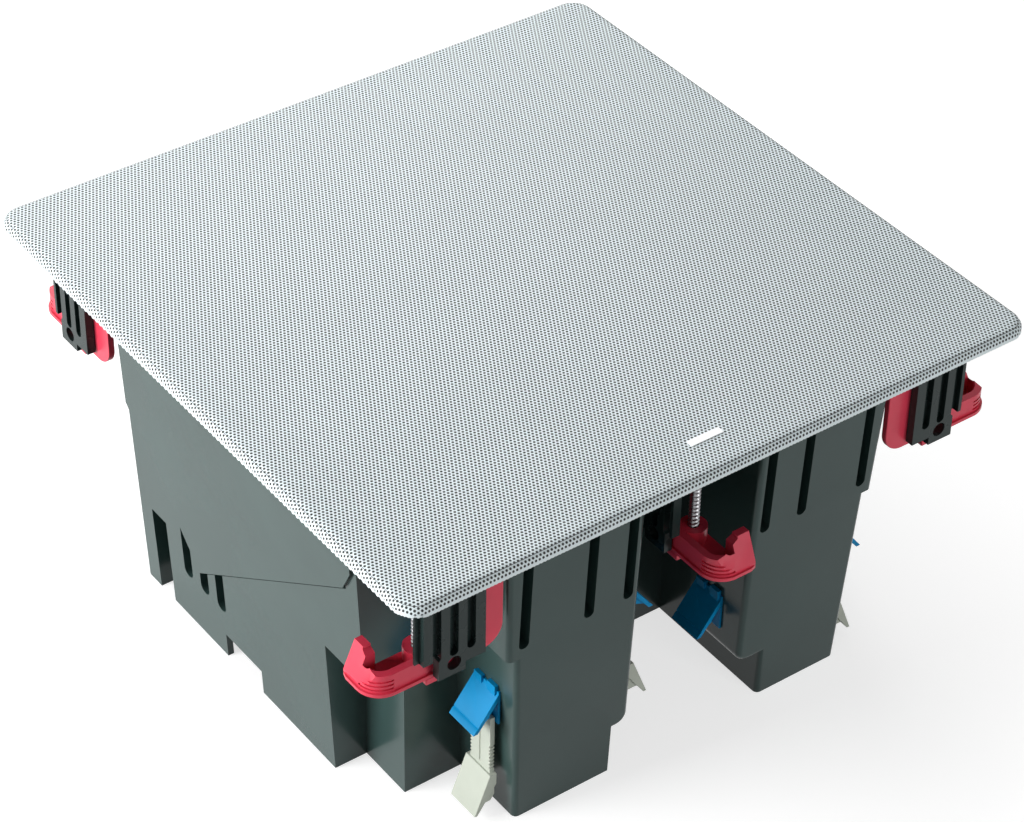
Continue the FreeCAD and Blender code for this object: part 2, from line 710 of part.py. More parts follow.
# Back box: pockets in its outside, each with its own wall on the inside
LEAN = f"(draft_run/{CEILING})"
TOWER_LEAN = f"(tower_draft/{CEILING})"
SLOT_FLOOR = f"({BASE_HALF}-slot_depth)"
GROOVE_FLOOR = f"({BASE_HALF}-groove_depth)"
TOWER_SLOT_FLOOR = f"({BASE_HALF}+draft_run/2-tower_slot_depth)"
LEFT_POCKETS = {
    "corner_low": (f"-{FAR}", "-corner_x", f"-{FAR}", "-corner_y", f"-{FAR}", "ear_bottom"),
    "corner_front": (f"-{FAR}", "-corner_x-ear_reach", f"-{FAR}", "-ear_rear", "ear_bottom-1", FAR),
    "corner_rear": (f"-{FAR}", "-corner_x", "-ear_rear", "-corner_y", "ear_bottom-1", FAR),
    "under_wall": (f"-{FAR}", "-under_x", f"-{FAR}", "-under_y", f"-{FAR}", "under_top"),
    "back_corner": (f"-{FAR}", "-corner_y", "corner_x", FAR, f"-{FAR}", FAR),
    "cable_slot": (f"-{FAR}", f"-{SLOT_FLOOR}", "slot_y-slot_width/2", "slot_y+slot_width/2",
                   f"-{FAR}", "slot_top"),
}
LEANING = ("corner_low", "corner_front", "corner_rear")
MIDDLE_POCKETS = {
    "recess_deep": ("-recess_half", "recess_half", "-column_rear", "-recess_rear", f"-{FAR}", FAR),
    "recess_low": ("recess_skew-recess_half", "recess_half", f"-{FAR}", "-column_rear+1",
                   f"-{FAR}", "column_bottom"),
    "recess_high": ("-column_half", "column_half", f"-{FAR}", "-column_rear+1", "column_bottom-1", FAR),
}
# Round-ended grooves in the side walls: middle along the wall, foot and head
SIDE_GROOVES = {
    "groove_near": ("slot_y-groove_inset-2*groove_pitch", "groove_bottom", "groove_bottom+groove_near"),
    "groove_middle": ("slot_y-groove_inset-groove_pitch", "groove_bottom", "groove_bottom+groove_middle"),
    "groove_far": ("slot_y-groove_inset", "groove_bottom", "groove_bottom+groove_far"),
}
TOWER_GROOVES = {
    "tower_slot_inner": "tower_slot_x",
    "tower_slot_outer": "(corner_x+ear_reach-tower_slot_edge)",
    "tower_slot_column": "(column_half+tower_slot_inset)",
}


def grow(limits, amount):
    signs = "-+" * 3
    return [f"({text}){sign}({amount})" for text, sign in zip(limits, signs)]


def groove_limits(name, side):
    if name in SIDE_GROOVES:
        middle, foot, head = SIDE_GROOVES[name]
        x0, x1 = sided(f"-{FAR}", f"-{GROOVE_FLOOR}", side)
        return x0, x1, f"{middle}-groove_width/2", f"{middle}+groove_width/2", foot, head
    middle = TOWER_GROOVES[name]
    x0, x1 = sided(f"-{middle}-tower_slot_width/2", f"-{middle}+tower_slot_width/2", side)
    return x0, x1, f"-{FAR}", f"-{TOWER_SLOT_FLOOR}", "tower_slot_bottom", FAR


def side_pocket(tag, name, side, amount):
    """A pocket of one side, grown by amount; those beside a tower lean with its wall."""
    x0, x1, y0, y1, z0, z1 = grow(LEFT_POCKETS[name], amount)
    if name not in LEANING:
        return block(f"{tag}_{name}_{side}", *sided(x0, x1, side), y0, y1, z0, z1)
    points = [(x0, z0), (f"{x1}-{TOWER_LEAN}*({z0})", z0), (f"{x1}-{TOWER_LEAN}*({z1})", z1), (x0, z1)]
    return prism(f"{tag}_{name}_{side}", points, y0, y1, 1 if side == "left" else -1)


def pocket_blocks(tag, amount):
    """Every pocket of the box, each grown by amount."""
    tools = [block(f"{tag}_{name}", *grow(limits, amount)) for name, limits in MIDDLE_POCKETS.items()]
    for side in SIDES:
        tools += [side_pocket(tag, name, side, amount) for name in LEFT_POCKETS]
        for name in (*SIDE_GROOVES, *TOWER_GROOVES):
            tools.append(block(f"{tag}_{name}_{side}", *grow(groove_limits(name, side), amount)))
    return tools


def side_groove_cutters(side):
    tools = []
    for name in SIDE_GROOVES:
        x0, x1, y0, y1, z0, z1 = groove_limits(name, side)
        low = f"{z0}+groove_width/2"
        tools.append(block(f"cut_{name}_{side}", x0, x1, y0, y1, low, z1))
        tools.append(rod_along_x(f"cut_{name}_end_{side}", "groove_width/2", SIDE_GROOVES[name][0], low,
                                 x0, x1))
    return tools


def tower_groove_cutters(side):
    tools = []
    for name, middle in TOWER_GROOVES.items():
        x0, x1, y0, y1, z0, z1 = groove_limits(name, side)
        low = f"{z0}+tower_slot_width/2"
        sign = -1 if side == "left" else 1
        tools.append(block(f"cut_{name}_{side}", x0, x1, y0, y1, low, z1))
        tools.append(rod_along_y(f"cut_{name}_end_{side}", "tower_slot_width/2", f"{sign}*{middle}", low,
                                 y0, y1))
    return tools


# The tilted driver box shows on each side wall as a raised panel
PANEL_LOW_Y = "(slot_y-panel_low_run)"
PANEL_HIGH_Y = "(-under_y-panel_high_run)"
PANEL_LOW_Z = "(groove_bottom+panel_low_rise)"
PANEL_HIGH_Z = "(under_top+panel_high_rise)"
PANEL_FRONT_Y = f"({PANEL_HIGH_Y}-panel_shoulder)"
PANEL_POINTS = [
    (PANEL_LOW_Y, PANEL_LOW_Z),
    (PANEL_HIGH_Y, PANEL_HIGH_Z),
    (PANEL_FRONT_Y, f"{PANEL_HIGH_Z}+panel_shoulder_rise"),
    (PANEL_FRONT_Y, CEILING),
    ("corner_x-1", CEILING),
    ("corner_x-1", "groove_bottom+panel_rear_rise"),
]


def column_foot(side):
    """What is taken off to round the lower inner corner of a column."""
    high = "column_bottom+column_round"
    x0, x1 = sided("-(column_half+column_round)", "-(column_half-1)", side)
    sign = -1 if side == "left" else 1
    square = block(f"column_foot_square_{side}", x0, x1, f"-{CUT}", "-column_rear", "column_bottom-1", high)
    keep = rod_along_y(f"column_foot_round_{side}", "column_round", f"{sign}*(column_half+column_round)",
                       high, f"-{CUT}-1", "-column_rear+1")
    return cut(f"column_foot_{side}", square, [keep])


outer_lean = frustum("outer_lean", BASE_HALF, TOP_HALF, "0", CEILING)
proud_lean = frustum("proud_lean", f"{BASE_HALF}+panel_proud", f"{TOP_HALF}+panel_proud", "0", CEILING)
panel_prism = prism("panel_prism", PANEL_POINTS, f"-{CUT}", CUT)
panel_prism.Placement.Rotation = FreeCAD.Rotation(Z_AXIS, 90)
side_panels = common("side_panels", panel_prism, proud_lean)
gap_prism = prism("gap_prism", [
    (PANEL_LOW_Y, f"{PANEL_LOW_Z}-panel_gap"), (PANEL_HIGH_Y, f"{PANEL_HIGH_Z}-panel_gap"),
    (PANEL_HIGH_Y, PANEL_HIGH_Z), (PANEL_LOW_Y, PANEL_LOW_Z)], f"-{CUT}", CUT)
gap_prism.Placement.Rotation = FreeCAD.Rotation(Z_AXIS, 90)
gap_core = frustum("gap_core", f"{BASE_HALF}-panel_gap_depth", f"{TOP_HALF}-panel_gap_depth", "0", CEILING)
panel_gaps = cut("panel_gaps", gap_prism, [gap_core])
outer_grooved = cut("outer_grooved", outer_lean,
                    [panel_gaps] + side_groove_cutters("left") + side_groove_cutters("right"))
outer_solid = fuse("outer_solid", [outer_grooved, side_panels])
outer_tools = [block(f"cut_{name}", *limits) for name, limits in MIDDLE_POCKETS.items()]
for side in SIDES:
    outer_tools += [side_pocket("cut", name, side, "0") for name in LEFT_POCKETS]
    outer_tools += tower_groove_cutters(side)
    outer_tools.append(column_foot(side))
outer_cut = cut("outer_cut", outer_solid, outer_tools)


def tower_edge(edge):
    """Long upright edges at the front faces of the towers."""
    front = -(SIZES["cutout_side"] / 2 - SIZES["box_clearance"] - SIZES["draft_run"]) + 1
    lean = SIZES["tower_draft"] / (SIZES["total_height"] - SIZES["grille_depth"])

    def on_line(point):
        wall = SIZES["corner_x"] + lean * point.z
        lines = (wall, wall + SIZES["ear_reach"], SIZES["recess_half"], SIZES["column_half"])
        return point.y < front and any(abs(abs(point.x) - line) < 0.1 for line in lines)

    return upright(edge) and edge.Length > SIZES["column_bottom"] - 2 and all(
        on_line(v.Point) for v in edge.Vertexes)


outer_round = fillet("outer_round", outer_cut, SIZES["tower_edge"], tower_edge)


def half_at(height, inset):
    return f"({BASE_HALF}+{LEAN}*({height})-({inset}))"


def hollow(tag, inset, z0, z1):
    """The air inside the box between two levels, with the pockets' walls left standing."""
    lean = frustum(f"{tag}_lean", half_at(z0, inset), half_at(z1, inset), z0, z1)
    return cut(tag, lean, pocket_blocks(tag, inset))


air = hollow("air", "wall", FLOOR_TOP, f"({CEILING}+1)")
skirt_room = hollow("skirt_room", "wall", "(-1)", "floor_lift")
box_shell = cut("box_shell", outer_round, [air, skirt_room])

# Bosses in the box for the flange screws, the baffle screws and the filter board
BAFFLE_UNDER = f"({BAFFLE_LEVEL}-baffle_thick/cos({TILT}))"
FLANGE_BOSS_FOOT = f"({CEILING}-small_screw_length-8)"
boss_list = []
boss_holes = []
for key, (x, y) in FLANGE_SCREWS.items():
    boss_list.append(rod(f"flange_boss_{key}", "boss_radius-1", FLANGE_BOSS_FOOT, CEILING, x, y))
    boss_holes.append(rod(f"flange_boss_hole_{key}", "small_screw_radius+running_fit",
                          f"{CEILING}-small_screw_length-2", f"{CEILING}+1", x, y))
baffle_bosses = fuse("baffle_bosses_tall", [
    rod(f"baffle_boss_{key}", "boss_radius", f"{FLOOR_TOP}-1", CEILING, x, y)
    for key, (x, y) in BAFFLE_SCREWS.items()])


def tilted(thing, x, y, lift="0"):
    """Set a thing on the baffle: its own Z along the baffle's normal at a place on the baffle's face."""
    level = f"{BAFFLE_LEVEL}-tan({TILT})*({y}-woofer_y)"
    return place(thing, x, f"{y}+({lift})*sin({TILT})", f"{level}+({lift})*cos({TILT})", X_AXIS, f"-{TILT}")


above_baffle = block("above_baffle", f"-{CUT}", CUT, f"-{CUT}*2", f"{CUT}*2", "0", CUT)
tilted(above_baffle, "0", "woofer_y")
bind(above_baffle, Placement__Base__x=f"-{CUT}",
     Placement__Base__y=f"woofer_y-2*{CUT}*cos({TILT})",
     Placement__Base__z=f"{BAFFLE_UNDER}+2*{CUT}*sin({TILT})")
boss_list.append(cut("baffle_bosses", baffle_bosses, [above_baffle]))


def baffle_screw(key, radius, head_radius, extra):
    x, y = BAFFLE_SCREWS[key]
    tag = f"{key}_{extra}"
    shank = rod(f"baffle_shank_{tag}", radius, f"-small_screw_length-{extra}", "0")
    head = rod(f"baffle_head_{tag}", head_radius, "0", "small_head_height")
    return tilted(fuse(f"baffle_screw_{tag}", [shank, head]), x, y)


BOARD_HOLES = [(f"{sx}*(board_length/2-standoff_inset)", f"board_y+{sy}*(board_width/2-standoff_inset)")
               for sx in (-1, 1) for sy in (-1, 1)]
BOARD_BOTTOM = f"({FLOOR_TOP}+standoff_height)"
for k, (x, y) in enumerate(BOARD_HOLES):
    boss_list.append(rod(f"standoff_{k}", "standoff_radius", f"{FLOOR_TOP}-1", BOARD_BOTTOM, x, y))
for key in BAFFLE_SCREWS:
    boss_holes.append(baffle_screw(key, "small_screw_radius+running_fit", "small_head_radius", "2"))
TERMINALS = {"red": "-terminal_pitch/2", "black": "terminal_pitch/2"}
for key, x in TERMINALS.items():
    boss_holes.append(rod(f"stud_way_{key}", "stud_radius+running_fit", "floor_lift-1", f"{FLOOR_TOP}+1",
                          x, "terminal_y"))
for side in SIDES:
    x0, x1 = sided(f"-{FAR}", f"-{BASE_HALF}+wall*2", side)
    boss_holes.append(block(f"skirt_notch_{side}", x0, x1, "notch_y-notch_width/2", "notch_y+notch_width/2",
                            "-1", "notch_height"))

# Stations on the tower walls: wall plane, middle along the wall, head of the catch, way it faces
OUTER_WALL = f"(corner_x+{TOWER_LEAN}*(outer_station_top+catch_knob+running_fit))"
STATIONS = {
    "left": (f"-{OUTER_WALL}", "-outer_station_y", "outer_station_top", 1),
    "right": (OUTER_WALL, "-outer_station_y", "outer_station_top", -1),
    "inner": ("-column_half", "-inner_station_y", "inner_station_top", -1),
}
LONE_CATCH = ("column_half", "-lone_catch_y", "lone_catch_top", 1)


def at_wall(thing, station):
    return place(thing, *station[:3])


def guide(key):
    """A pad on the tower wall with a key that runs in the back of a slide's tongue."""
    station = STATIONS[key]
    hand = station[3]
    high = "(-catch_height-1)"
    low = f"({high}-guide_height)"
    x0, x1 = handed("-catch_back", "wall-1", hand)
    pad = block(f"guide_pad_{key}", x0, x1, "-guide_width/2", "guide_width/2", low, high)
    x0, x1 = handed("-catch_back-loose_fit-guide_key_depth", "0", hand)
    rail = block(f"guide_rail_{key}", x0, x1, "-guide_key/2", "guide_key/2", low, high)
    return at_wall(fuse(f"guide_{key}", [pad, rail]), station)


box_with_bosses = fuse("box_with_bosses", [box_shell] + boss_list + [guide(key) for key in STATIONS])
node("back_box", cut("back_box", box_with_bosses, boss_holes))


# Catch: a sloping plate with cheeks on a back plate
def catch(key, station):
    hand = station[3]
    half = "catch_width/2"
    slope = [("-catch_back", "0"), ("-catch_reach", "-catch_height"),
             ("catch_plate-catch_reach", "-catch_height"), ("-catch_back", "-catch_plate*1.6")]
    clear = "(catch_back+slide_tongue+loose_fit*3)"
    cheek = [(f"-{clear}", "-catch_plate*3"), ("catch_plate-catch_reach", "-catch_height+catch_plate/2"),
             (f"-{clear}", "2*catch_plate-catch_height")]
    x0, x1 = handed("-catch_back", "0", hand)
    k0, k1 = handed("-catch_back*2", "0", hand)
    pieces = [
        prism(f"catch_slope_{key}", slope, f"-{half}", half, hand),
        prism(f"catch_cheek_low_{key}", cheek, f"-{half}+cheek_inset",
              f"-{half}+cheek_inset+catch_cheek", hand),
        prism(f"catch_cheek_high_{key}", cheek, f"{half}-cheek_inset-catch_cheek",
              f"{half}-cheek_inset", hand),
        block(f"catch_back_{key}", x0, x1, f"-{half}", half, "-catch_height", "1.5"),
        block(f"catch_knob_low_{key}", k0, k1, "-catch_width*0.42", "-catch_width*0.1", "-1", "catch_knob"),
        block(f"catch_knob_high_{key}", k0, k1, "catch_width*0.12", "catch_width*0.4", "-1", "3"),
    ]
    run = "(catch_reach-catch_back)"
    score = prism(f"catch_score_{key}", [
        (f"-catch_back-0.80*{run}", "-0.80*catch_height"),
        (f"-catch_back-0.86*{run}", "-0.86*catch_height"),
        (f"slide_score-catch_back-0.83*{run}", "-0.83*catch_height")], f"-{half}-1", f"{half}+1", hand)
    return at_wall(cut(f"catch_{key}", fuse(f"catch_solid_{key}", pieces), [score]), station)


# Ratchet slide: a toothed tongue with a sloping finger plate and cheeks
def slide(key):
    station = STATIONS[key]
    hand = station[3]
    head = "(slide_lap-catch_height)"
    step = f"({head}-slide_tongue_height)"
    foot = f"({head}-slide_height)"
    inside = "(catch_back+loose_fit)"
    outside = f"({inside}+slide_tongue)"
    half = "catch_width/2"
    x0, x1 = handed(f"-{outside}", f"-{inside}", hand)
    slope = [(f"-{inside}", f"{step}+4"), (f"-{outside}-1", f"{step}+4"), ("-slide_reach", foot),
             ("1.5-slide_reach", foot), (f"-{inside}", f"{step}-2")]
    cheek = [(f"-{inside}", step), ("2-slide_reach", f"{foot}+4"), (f"-{inside}-2", f"{foot}+4"),
             (f"-{inside}", f"{foot}+7")]
    pieces = [
        block(f"slide_tongue_{key}", x0, x1, "-slide_tongue_width/2", "slide_tongue_width/2",
              f"{step}-1", head),
        prism(f"slide_plate_{key}", slope, f"-{half}", half, hand),
        prism(f"slide_cheek_low_{key}", cheek, f"-{half}+cheek_inset",
              f"-{half}+cheek_inset+catch_cheek", hand),
        prism(f"slide_cheek_high_{key}", cheek, f"{half}-cheek_inset-catch_cheek",
              f"{half}-cheek_inset", hand),
    ]
    teeth = []
    for k in range(7):
        low = f"{step}+slide_plate_lap+2*slide_tooth*{k}"
        for sign in (-1, 1):
            edge = f"{sign}*slide_tongue_width/2"
            teeth.append(block(f"slide_tooth_{key}_{k}_{sign + 1}", *handed(f"-{outside}-1", "0", hand),
                               f"{edge}-slide_tooth*0.7", f"{edge}+slide_tooth*0.7", low,
                               f"{low}+slide_tooth"))
    x0, x1 = handed(f"-{inside}-guide_key_depth-loose_fit", "0", hand)
    keyway = block(f"slide_keyway_{key}", x0, x1, "-guide_key/2-loose_fit", "guide_key/2+loose_fit",
                   step, f"{head}+1")
    x0, x1 = handed(f"-{outside}-1", f"slide_score-{outside}", hand)
    score = block(f"slide_score_{key}", x0, x1, "-slide_score", "slide_score", f"{step}+slide_plate_lap",
                  f"{head}+1")
    solid = fuse(f"slide_solid_{key}", pieces)
    return at_wall(cut(f"slide_{key}", solid, teeth + [keyway, score]), station)


for key, station in STATIONS.items():
    node(f"catch_{key}", catch(key, station))
    node(f"ratchet_slide_{key}", slide(key))
node("catch_lone", catch("lone", LONE_CATCH))

WOOFERS = {"left": "-woofer_x", "right": "woofer_x"}
TWEETER_Y = f"(woofer_y+tweeter_run*cos({TILT}))"

# Driver screws: four round each woofer and three round the tweeter
WOOFER_CIRCLE = "(woofer_radius-driver_head_radius-driver_head_edge)"
TWEETER_CIRCLE = "(tweeter_radius-driver_head_radius-driver_head_edge)"


def driver_rods(tag, count, circle, radius, z0, z1):
    """Upright rods evenly spaced round a driver's axis."""
    rods = []
    for k in range(count):
        turn = math.radians(360 * (k + 0.5) / count)
        rods.append(rod(f"{tag}_{k}", radius, z0, z1, f"{circle}*{math.cos(turn):.6f}",
                        f"{circle}*{math.sin(turn):.6f}"))
    return rods


def driver_screws(tag, count, circle, x, y):
    shanks = driver_rods(f"{tag}_shank", count, circle, "driver_screw_radius", "-driver_screw_length",
                         "woofer_flange")
    heads = driver_rods(f"{tag}_head", count, circle, "driver_head_radius", "woofer_flange",
                        "woofer_flange+driver_head_height")
    return tilted(fuse(f"{tag}_screws", shanks + heads), x, y)


def driver_holes(tag, count, circle):
    return driver_rods(f"{tag}_hole", count, circle, "driver_screw_radius+running_fit",
                       "-driver_screw_length-1", "woofer_flange+1")


# Baffle: a tilted board cut to the inside of the box
inside_fit = hollow("inside_fit", "wall+loose_fit", FLOOR_TOP, CEILING)
board_slab = block("board_slab", f"-{CUT}", CUT, "0", f"{CUT}*2", "-baffle_thick", "0")
tilted(board_slab, "0", "woofer_y")
bind(board_slab, Placement__Base__x=f"-{CUT}",
     Placement__Base__y=f"woofer_y-baffle_front*cos({TILT})-baffle_thick*sin({TILT})",
     Placement__Base__z=f"{BAFFLE_LEVEL}+baffle_front*sin({TILT})-baffle_thick*cos({TILT})")


def driver_way(key, radius, x, y):
    way = rod(f"driver_way_{key}", radius, "-2*baffle_thick", "baffle_thick")
    return tilted(way, x, y, "-2*baffle_thick")


baffle_holes = [driver_way(side, "basket_radius+1", x, "woofer_y") for side, x in WOOFERS.items()]
baffle_holes.append(driver_way("tweeter", "tweeter_motor_radius+1", "0", TWEETER_Y))
baffle_holes += [baffle_screw(key, "small_screw_radius+running_fit", "0.5", "3") for key in BAFFLE_SCREWS]
for side, x in WOOFERS.items():
    ring = fuse(f"baffle_woofer_ring_{side}", driver_holes(f"baffle_woofer_{side}", 4, WOOFER_CIRCLE))
    baffle_holes.append(tilted(ring, x, "woofer_y"))
ring = fuse("baffle_tweeter_ring", driver_holes("baffle_tweeter", 3, TWEETER_CIRCLE))
baffle_holes.append(tilted(ring, "0", TWEETER_Y))
for key, (x, y) in FLANGE_SCREWS.items():
    baffle_holes.append(rod(f"baffle_room_{key}", "boss_radius-1+loose_fit",
                            f"{FLANGE_BOSS_FOOT}-loose_fit", f"{CEILING}+1", x, y))
node("baffle", cut("baffle", common("baffle_board", inside_fit, board_slab), baffle_holes))
node("baffle_screws", fuse("baffle_screws", [
    baffle_screw(key, "small_screw_radius", "small_head_radius", "0") for key in BAFFLE_SCREWS]))

# Woofers: each piece is made about its own axis, its flange seated at zero height
SEAT_LOW = "(-basket_depth-basket_seat)"
PLATE_LOW = f"({SEAT_LOW}-motor_plate)"
MAGNET_LOW = f"({PLATE_LOW}-magnet_height)"
YOKE_LOW = f"({MAGNET_LOW}-motor_plate)"
COIL_OUT = "(coil_radius+coil_sheet)"
POLE = "(coil_radius-coil_gap)"
GAP = f"({COIL_OUT}+coil_gap)"
ROLL_MIDDLE = "(cone_radius+surround_roll)"
NECK_TOP = "(-cone_neck_depth)"
NECK = f"({COIL_OUT}+running_fit)"
BOWL_RIM = "(cone_radius+cone_rim-cone_sheet)"
BOWL_SLOPE = f"((woofer_flange+cone_neck_depth)/({BOWL_RIM}-{NECK}))"
CAP_FOOT = f"({NECK_TOP}+(cap_radius+2*running_fit-{NECK})*{BOWL_SLOPE})"


def woofer(side, x):
    def seated(name, thing):
        node(f"woofer_{name}_{side}", tilted(thing, x, "woofer_y"))

    tag = f"woofer_{side}"
    flange = tube(f"{tag}_flange", "woofer_radius", "basket_radius-basket_sheet-1", "0", "woofer_flange")
    shell = cone(f"{tag}_basket_out", "basket_foot", "basket_radius", "-basket_depth", "0")
    room = cone(f"{tag}_basket_in", "basket_foot-basket_sheet", "basket_radius-basket_sheet",
                "-basket_depth", "0")
    skirt = cut(f"{tag}_skirt", shell, [room])
    seat = tube(f"{tag}_seat", "motor_radius", f"{GAP}+6", SEAT_LOW, "-basket_depth")
    ledge = tube(f"{tag}_ledge", "basket_foot+1", "basket_foot-3", "-basket_depth",
                 "-spider_depth-spider_sheet")
    windows = []
    half = "basket_window/2"
    for k in range(6):
        window = block(f"{tag}_window_{k}", "basket_foot", "basket_radius+5", f"-{half}", half,
                       "-basket_depth*0.72", "-basket_depth*0.2")
        window.Placement.Rotation = FreeCAD.Rotation(Z_AXIS, 60 * k + 30)
        turn = math.radians(60 * k + 30)
        across, along = f"{math.cos(turn):.6f}", f"{math.sin(turn):.6f}"
        bind(window, Placement__Base__x=f"basket_foot*{across}+{half}*{along}",
             Placement__Base__y=f"basket_foot*{along}-{half}*{across}")
        windows.append(window)
    holes = driver_holes(f"{tag}_basket", 4, WOOFER_CIRCLE)
    basket_solid = fuse(f"{tag}_basket_solid", [flange, skirt, seat, ledge])
    seated("basket", cut(f"{tag}_basket", basket_solid, windows + holes))
    seated("top_plate", tube(f"{tag}_top_plate", "motor_radius", GAP, PLATE_LOW, SEAT_LOW))
    seated("magnet", tube(f"{tag}_magnet", "motor_radius+2", f"{GAP}+5", MAGNET_LOW, PLATE_LOW))
    yoke_solid = fuse(f"{tag}_yoke_solid", [
        rod(f"{tag}_yoke_plate", "motor_radius", YOKE_LOW, MAGNET_LOW),
        rod(f"{tag}_pole", POLE, f"{MAGNET_LOW}-1", SEAT_LOW)])
    seated("yoke", cut(f"{tag}_yoke", yoke_solid, [
        rod(f"{tag}_vent", "pole_vent", f"{YOKE_LOW}-1", f"{SEAT_LOW}+1")]))
    coil_top = f"{NECK_TOP}+cone_sheet"
    coil = tube(f"{tag}_voice_coil", COIL_OUT, "coil_radius", f"{coil_top}-coil_length", coil_top)
    seated("voice_coil", coil)
    spider = tube(f"{tag}_spider", "basket_foot+1.2", f"{COIL_OUT}+running_fit",
                  "-spider_depth-spider_sheet", "-spider_depth")
    seated("spider", spider)
    rim_top = "woofer_flange"
    body = cone(f"{tag}_cone_out", f"{NECK}+cone_sheet", "cone_radius+cone_rim", NECK_TOP, rim_top)
    bowl = cone(f"{tag}_cone_in", NECK, BOWL_RIM, NECK_TOP, rim_top)
    rim = tube(f"{tag}_rim", "cone_radius+cone_rim", "cone_radius-cone_rim", f"{rim_top}-1", rim_top)
    seated("cone", fuse(f"{tag}_cone", [cut(f"{tag}_cone_body", body, [bowl]), rim]))
    ring = new("Part::Torus", f"{tag}_roll_out")
    bind(ring, Radius1=ROLL_MIDDLE, Radius2="surround_roll")
    hole = new("Part::Torus", f"{tag}_roll_in")
    bind(hole, Radius1=ROLL_MIDDLE, Radius2="surround_roll-surround_sheet")
    place(ring, z="woofer_flange")
    place(hole, z="woofer_flange")
    below = rod(f"{tag}_roll_below", "woofer_radius", "-woofer_flange-surround_roll", "woofer_flange")
    roll = cut(f"{tag}_roll", ring, [hole, below])
    roll_edge = f"{ROLL_MIDDLE}+surround_roll"
    foot = tube(f"{tag}_roll_foot", f"{roll_edge}+surround_foot", f"{roll_edge}-surround_sheet",
                "woofer_flange", "woofer_flange+surround_sheet")
    seated("surround", fuse(f"{tag}_surround", [roll, foot]))
    seated("dust_cap", dome(f"{tag}_dust_cap", "cap_radius", "cap_rise", "cap_sheet", CAP_FOOT))


def dome(name, radius, rise, skin, z0):
    """A domed cap of a given foot radius and rise, as a shell."""
    ball_radius = f"(({radius})^2+({rise})^2)/(2*({rise}))"
    ball = new("Part::Sphere", f"{name}_ball")
    bind(ball, Radius=ball_radius)
    place(ball, z=f"{z0}+{rise}-{ball_radius}")
    inner = new("Part::Sphere", f"{name}_hollow")
    bind(inner, Radius=f"{ball_radius}-{skin}")
    place(inner, z=f"{z0}+{rise}-{ball_radius}")
    below = rod(f"{name}_below", f"3*({radius})", f"{z0}-3*{ball_radius}", z0)
    return cut(name, ball, [inner, below])


for side, x in WOOFERS.items():
    woofer(side, x)


# Tweeter
def tweeter():
    def seated(name, thing):
        node(f"tweeter_{name}", tilted(thing, "0", TWEETER_Y))

    plate = tube("tweeter_plate_solid", "tweeter_radius", "tweeter_mouth", "0", "woofer_flange")
    seated("plate", cut("tweeter_plate", plate, driver_holes("tweeter_plate", 3, TWEETER_CIRCLE)))
    motor = rod("tweeter_motor_solid", "tweeter_motor_radius", "-tweeter_motor_depth", "0")
    well = rod("tweeter_well", "dome_radius+dome_sheet", "-tweeter_well", "1")
    seated("motor", cut("tweeter_motor", motor, [well]))
    ring = tube("tweeter_surround", "tweeter_mouth-running_fit*2", "dome_radius+running_fit", "0",
                "dome_sheet")
    seated("surround", ring)
    seated("dome", dome("tweeter_dome", "dome_radius", "dome_rise", "dome_sheet", "0"))


tweeter()
node("driver_screws", fuse("driver_screws", [
    driver_screws(f"woofer_{side}", 4, WOOFER_CIRCLE, x, "woofer_y") for side, x in WOOFERS.items()]
    + [driver_screws("tweeter", 3, TWEETER_CIRCLE, "0", TWEETER_Y)]))

# Filter board with its parts, speaker terminals and wadding
BOARD_TOP = f"({BOARD_BOTTOM}+board_thick)"
node("filter_board", block("filter_board", "-board_length/2", "board_length/2", "board_y-board_width/2",
                           "board_y+board_width/2", BOARD_BOTTOM, BOARD_TOP))
node("filter_chokes", fuse("filter_chokes", [
    tube(f"choke_{k}", "choke_radius", "choke_bore", BOARD_TOP, f"{BOARD_TOP}+choke_height",
         f"{sign}*board_length*0.3", "board_y-board_width*0.2") for k, sign in enumerate((-1, 1))]))
node("filter_capacitors", fuse("filter_capacitors", [
    rod(f"capacitor_{k}", "capacitor_radius", BOARD_TOP, f"{BOARD_TOP}+capacitor_height",
        f"{step}*board_length*0.18", "board_y+board_width*0.28") for k, step in enumerate((-2, -1, 1, 2))]))
TERMINAL_LOW = "(floor_lift-terminal_thick)"
terminal_solid = block("terminal_solid", "-terminal_length/2", "terminal_length/2",
                       "terminal_y-terminal_width/2", "terminal_y+terminal_width/2",
                       TERMINAL_LOW, "floor_lift")
node("terminal_plate", cut("terminal_plate", terminal_solid, [
    rod(f"terminal_way_{key}", "stud_radius+running_fit", "0", FLOOR_TOP, x, "terminal_y")
    for key, x in TERMINALS.items()]))
for key, x in TERMINALS.items():
    knob = rod(f"terminal_knob_{key}", "terminal_radius", f"{TERMINAL_LOW}-terminal_height", TERMINAL_LOW,
               x, "terminal_y")
    stud = rod(f"terminal_stud_{key}", "stud_radius", f"{TERMINAL_LOW}-1", f"{TERMINAL_LOW}+stud_length",
               x, "terminal_y")
    way = rod(f"terminal_wire_way_{key}", "wire_radius", f"{TERMINAL_LOW}-terminal_height-1",
              f"{TERMINAL_LOW}-1", x, "terminal_y")
    node(f"terminal_{key}", cut(f"terminal_{key}", fuse(f"terminal_solid_{key}", [knob, stud]), [way]))
node("wadding", fuse("wadding", [
    block(f"wadding_{side}", *sided("-wadding_start-wadding_width", "-wadding_start", side),
          "-wadding_front", "wadding_length-wadding_front", FLOOR_TOP, f"{FLOOR_TOP}+wadding_height")
    for side in SIDES]))

doc.recompute()

# Check every object before anything is written
failed = [thing.Name for thing in doc.Objects if {"Invalid", "Error"} & set(thing.State)]
for name, thing in nodes.items():
    if thing.Shape.isNull() or not thing.Shape.isValid() or not thing.Shape.Solids:
        failed.append(name)
if failed:
    raise RuntimeError(f"objects that failed: {sorted(set(failed))}")

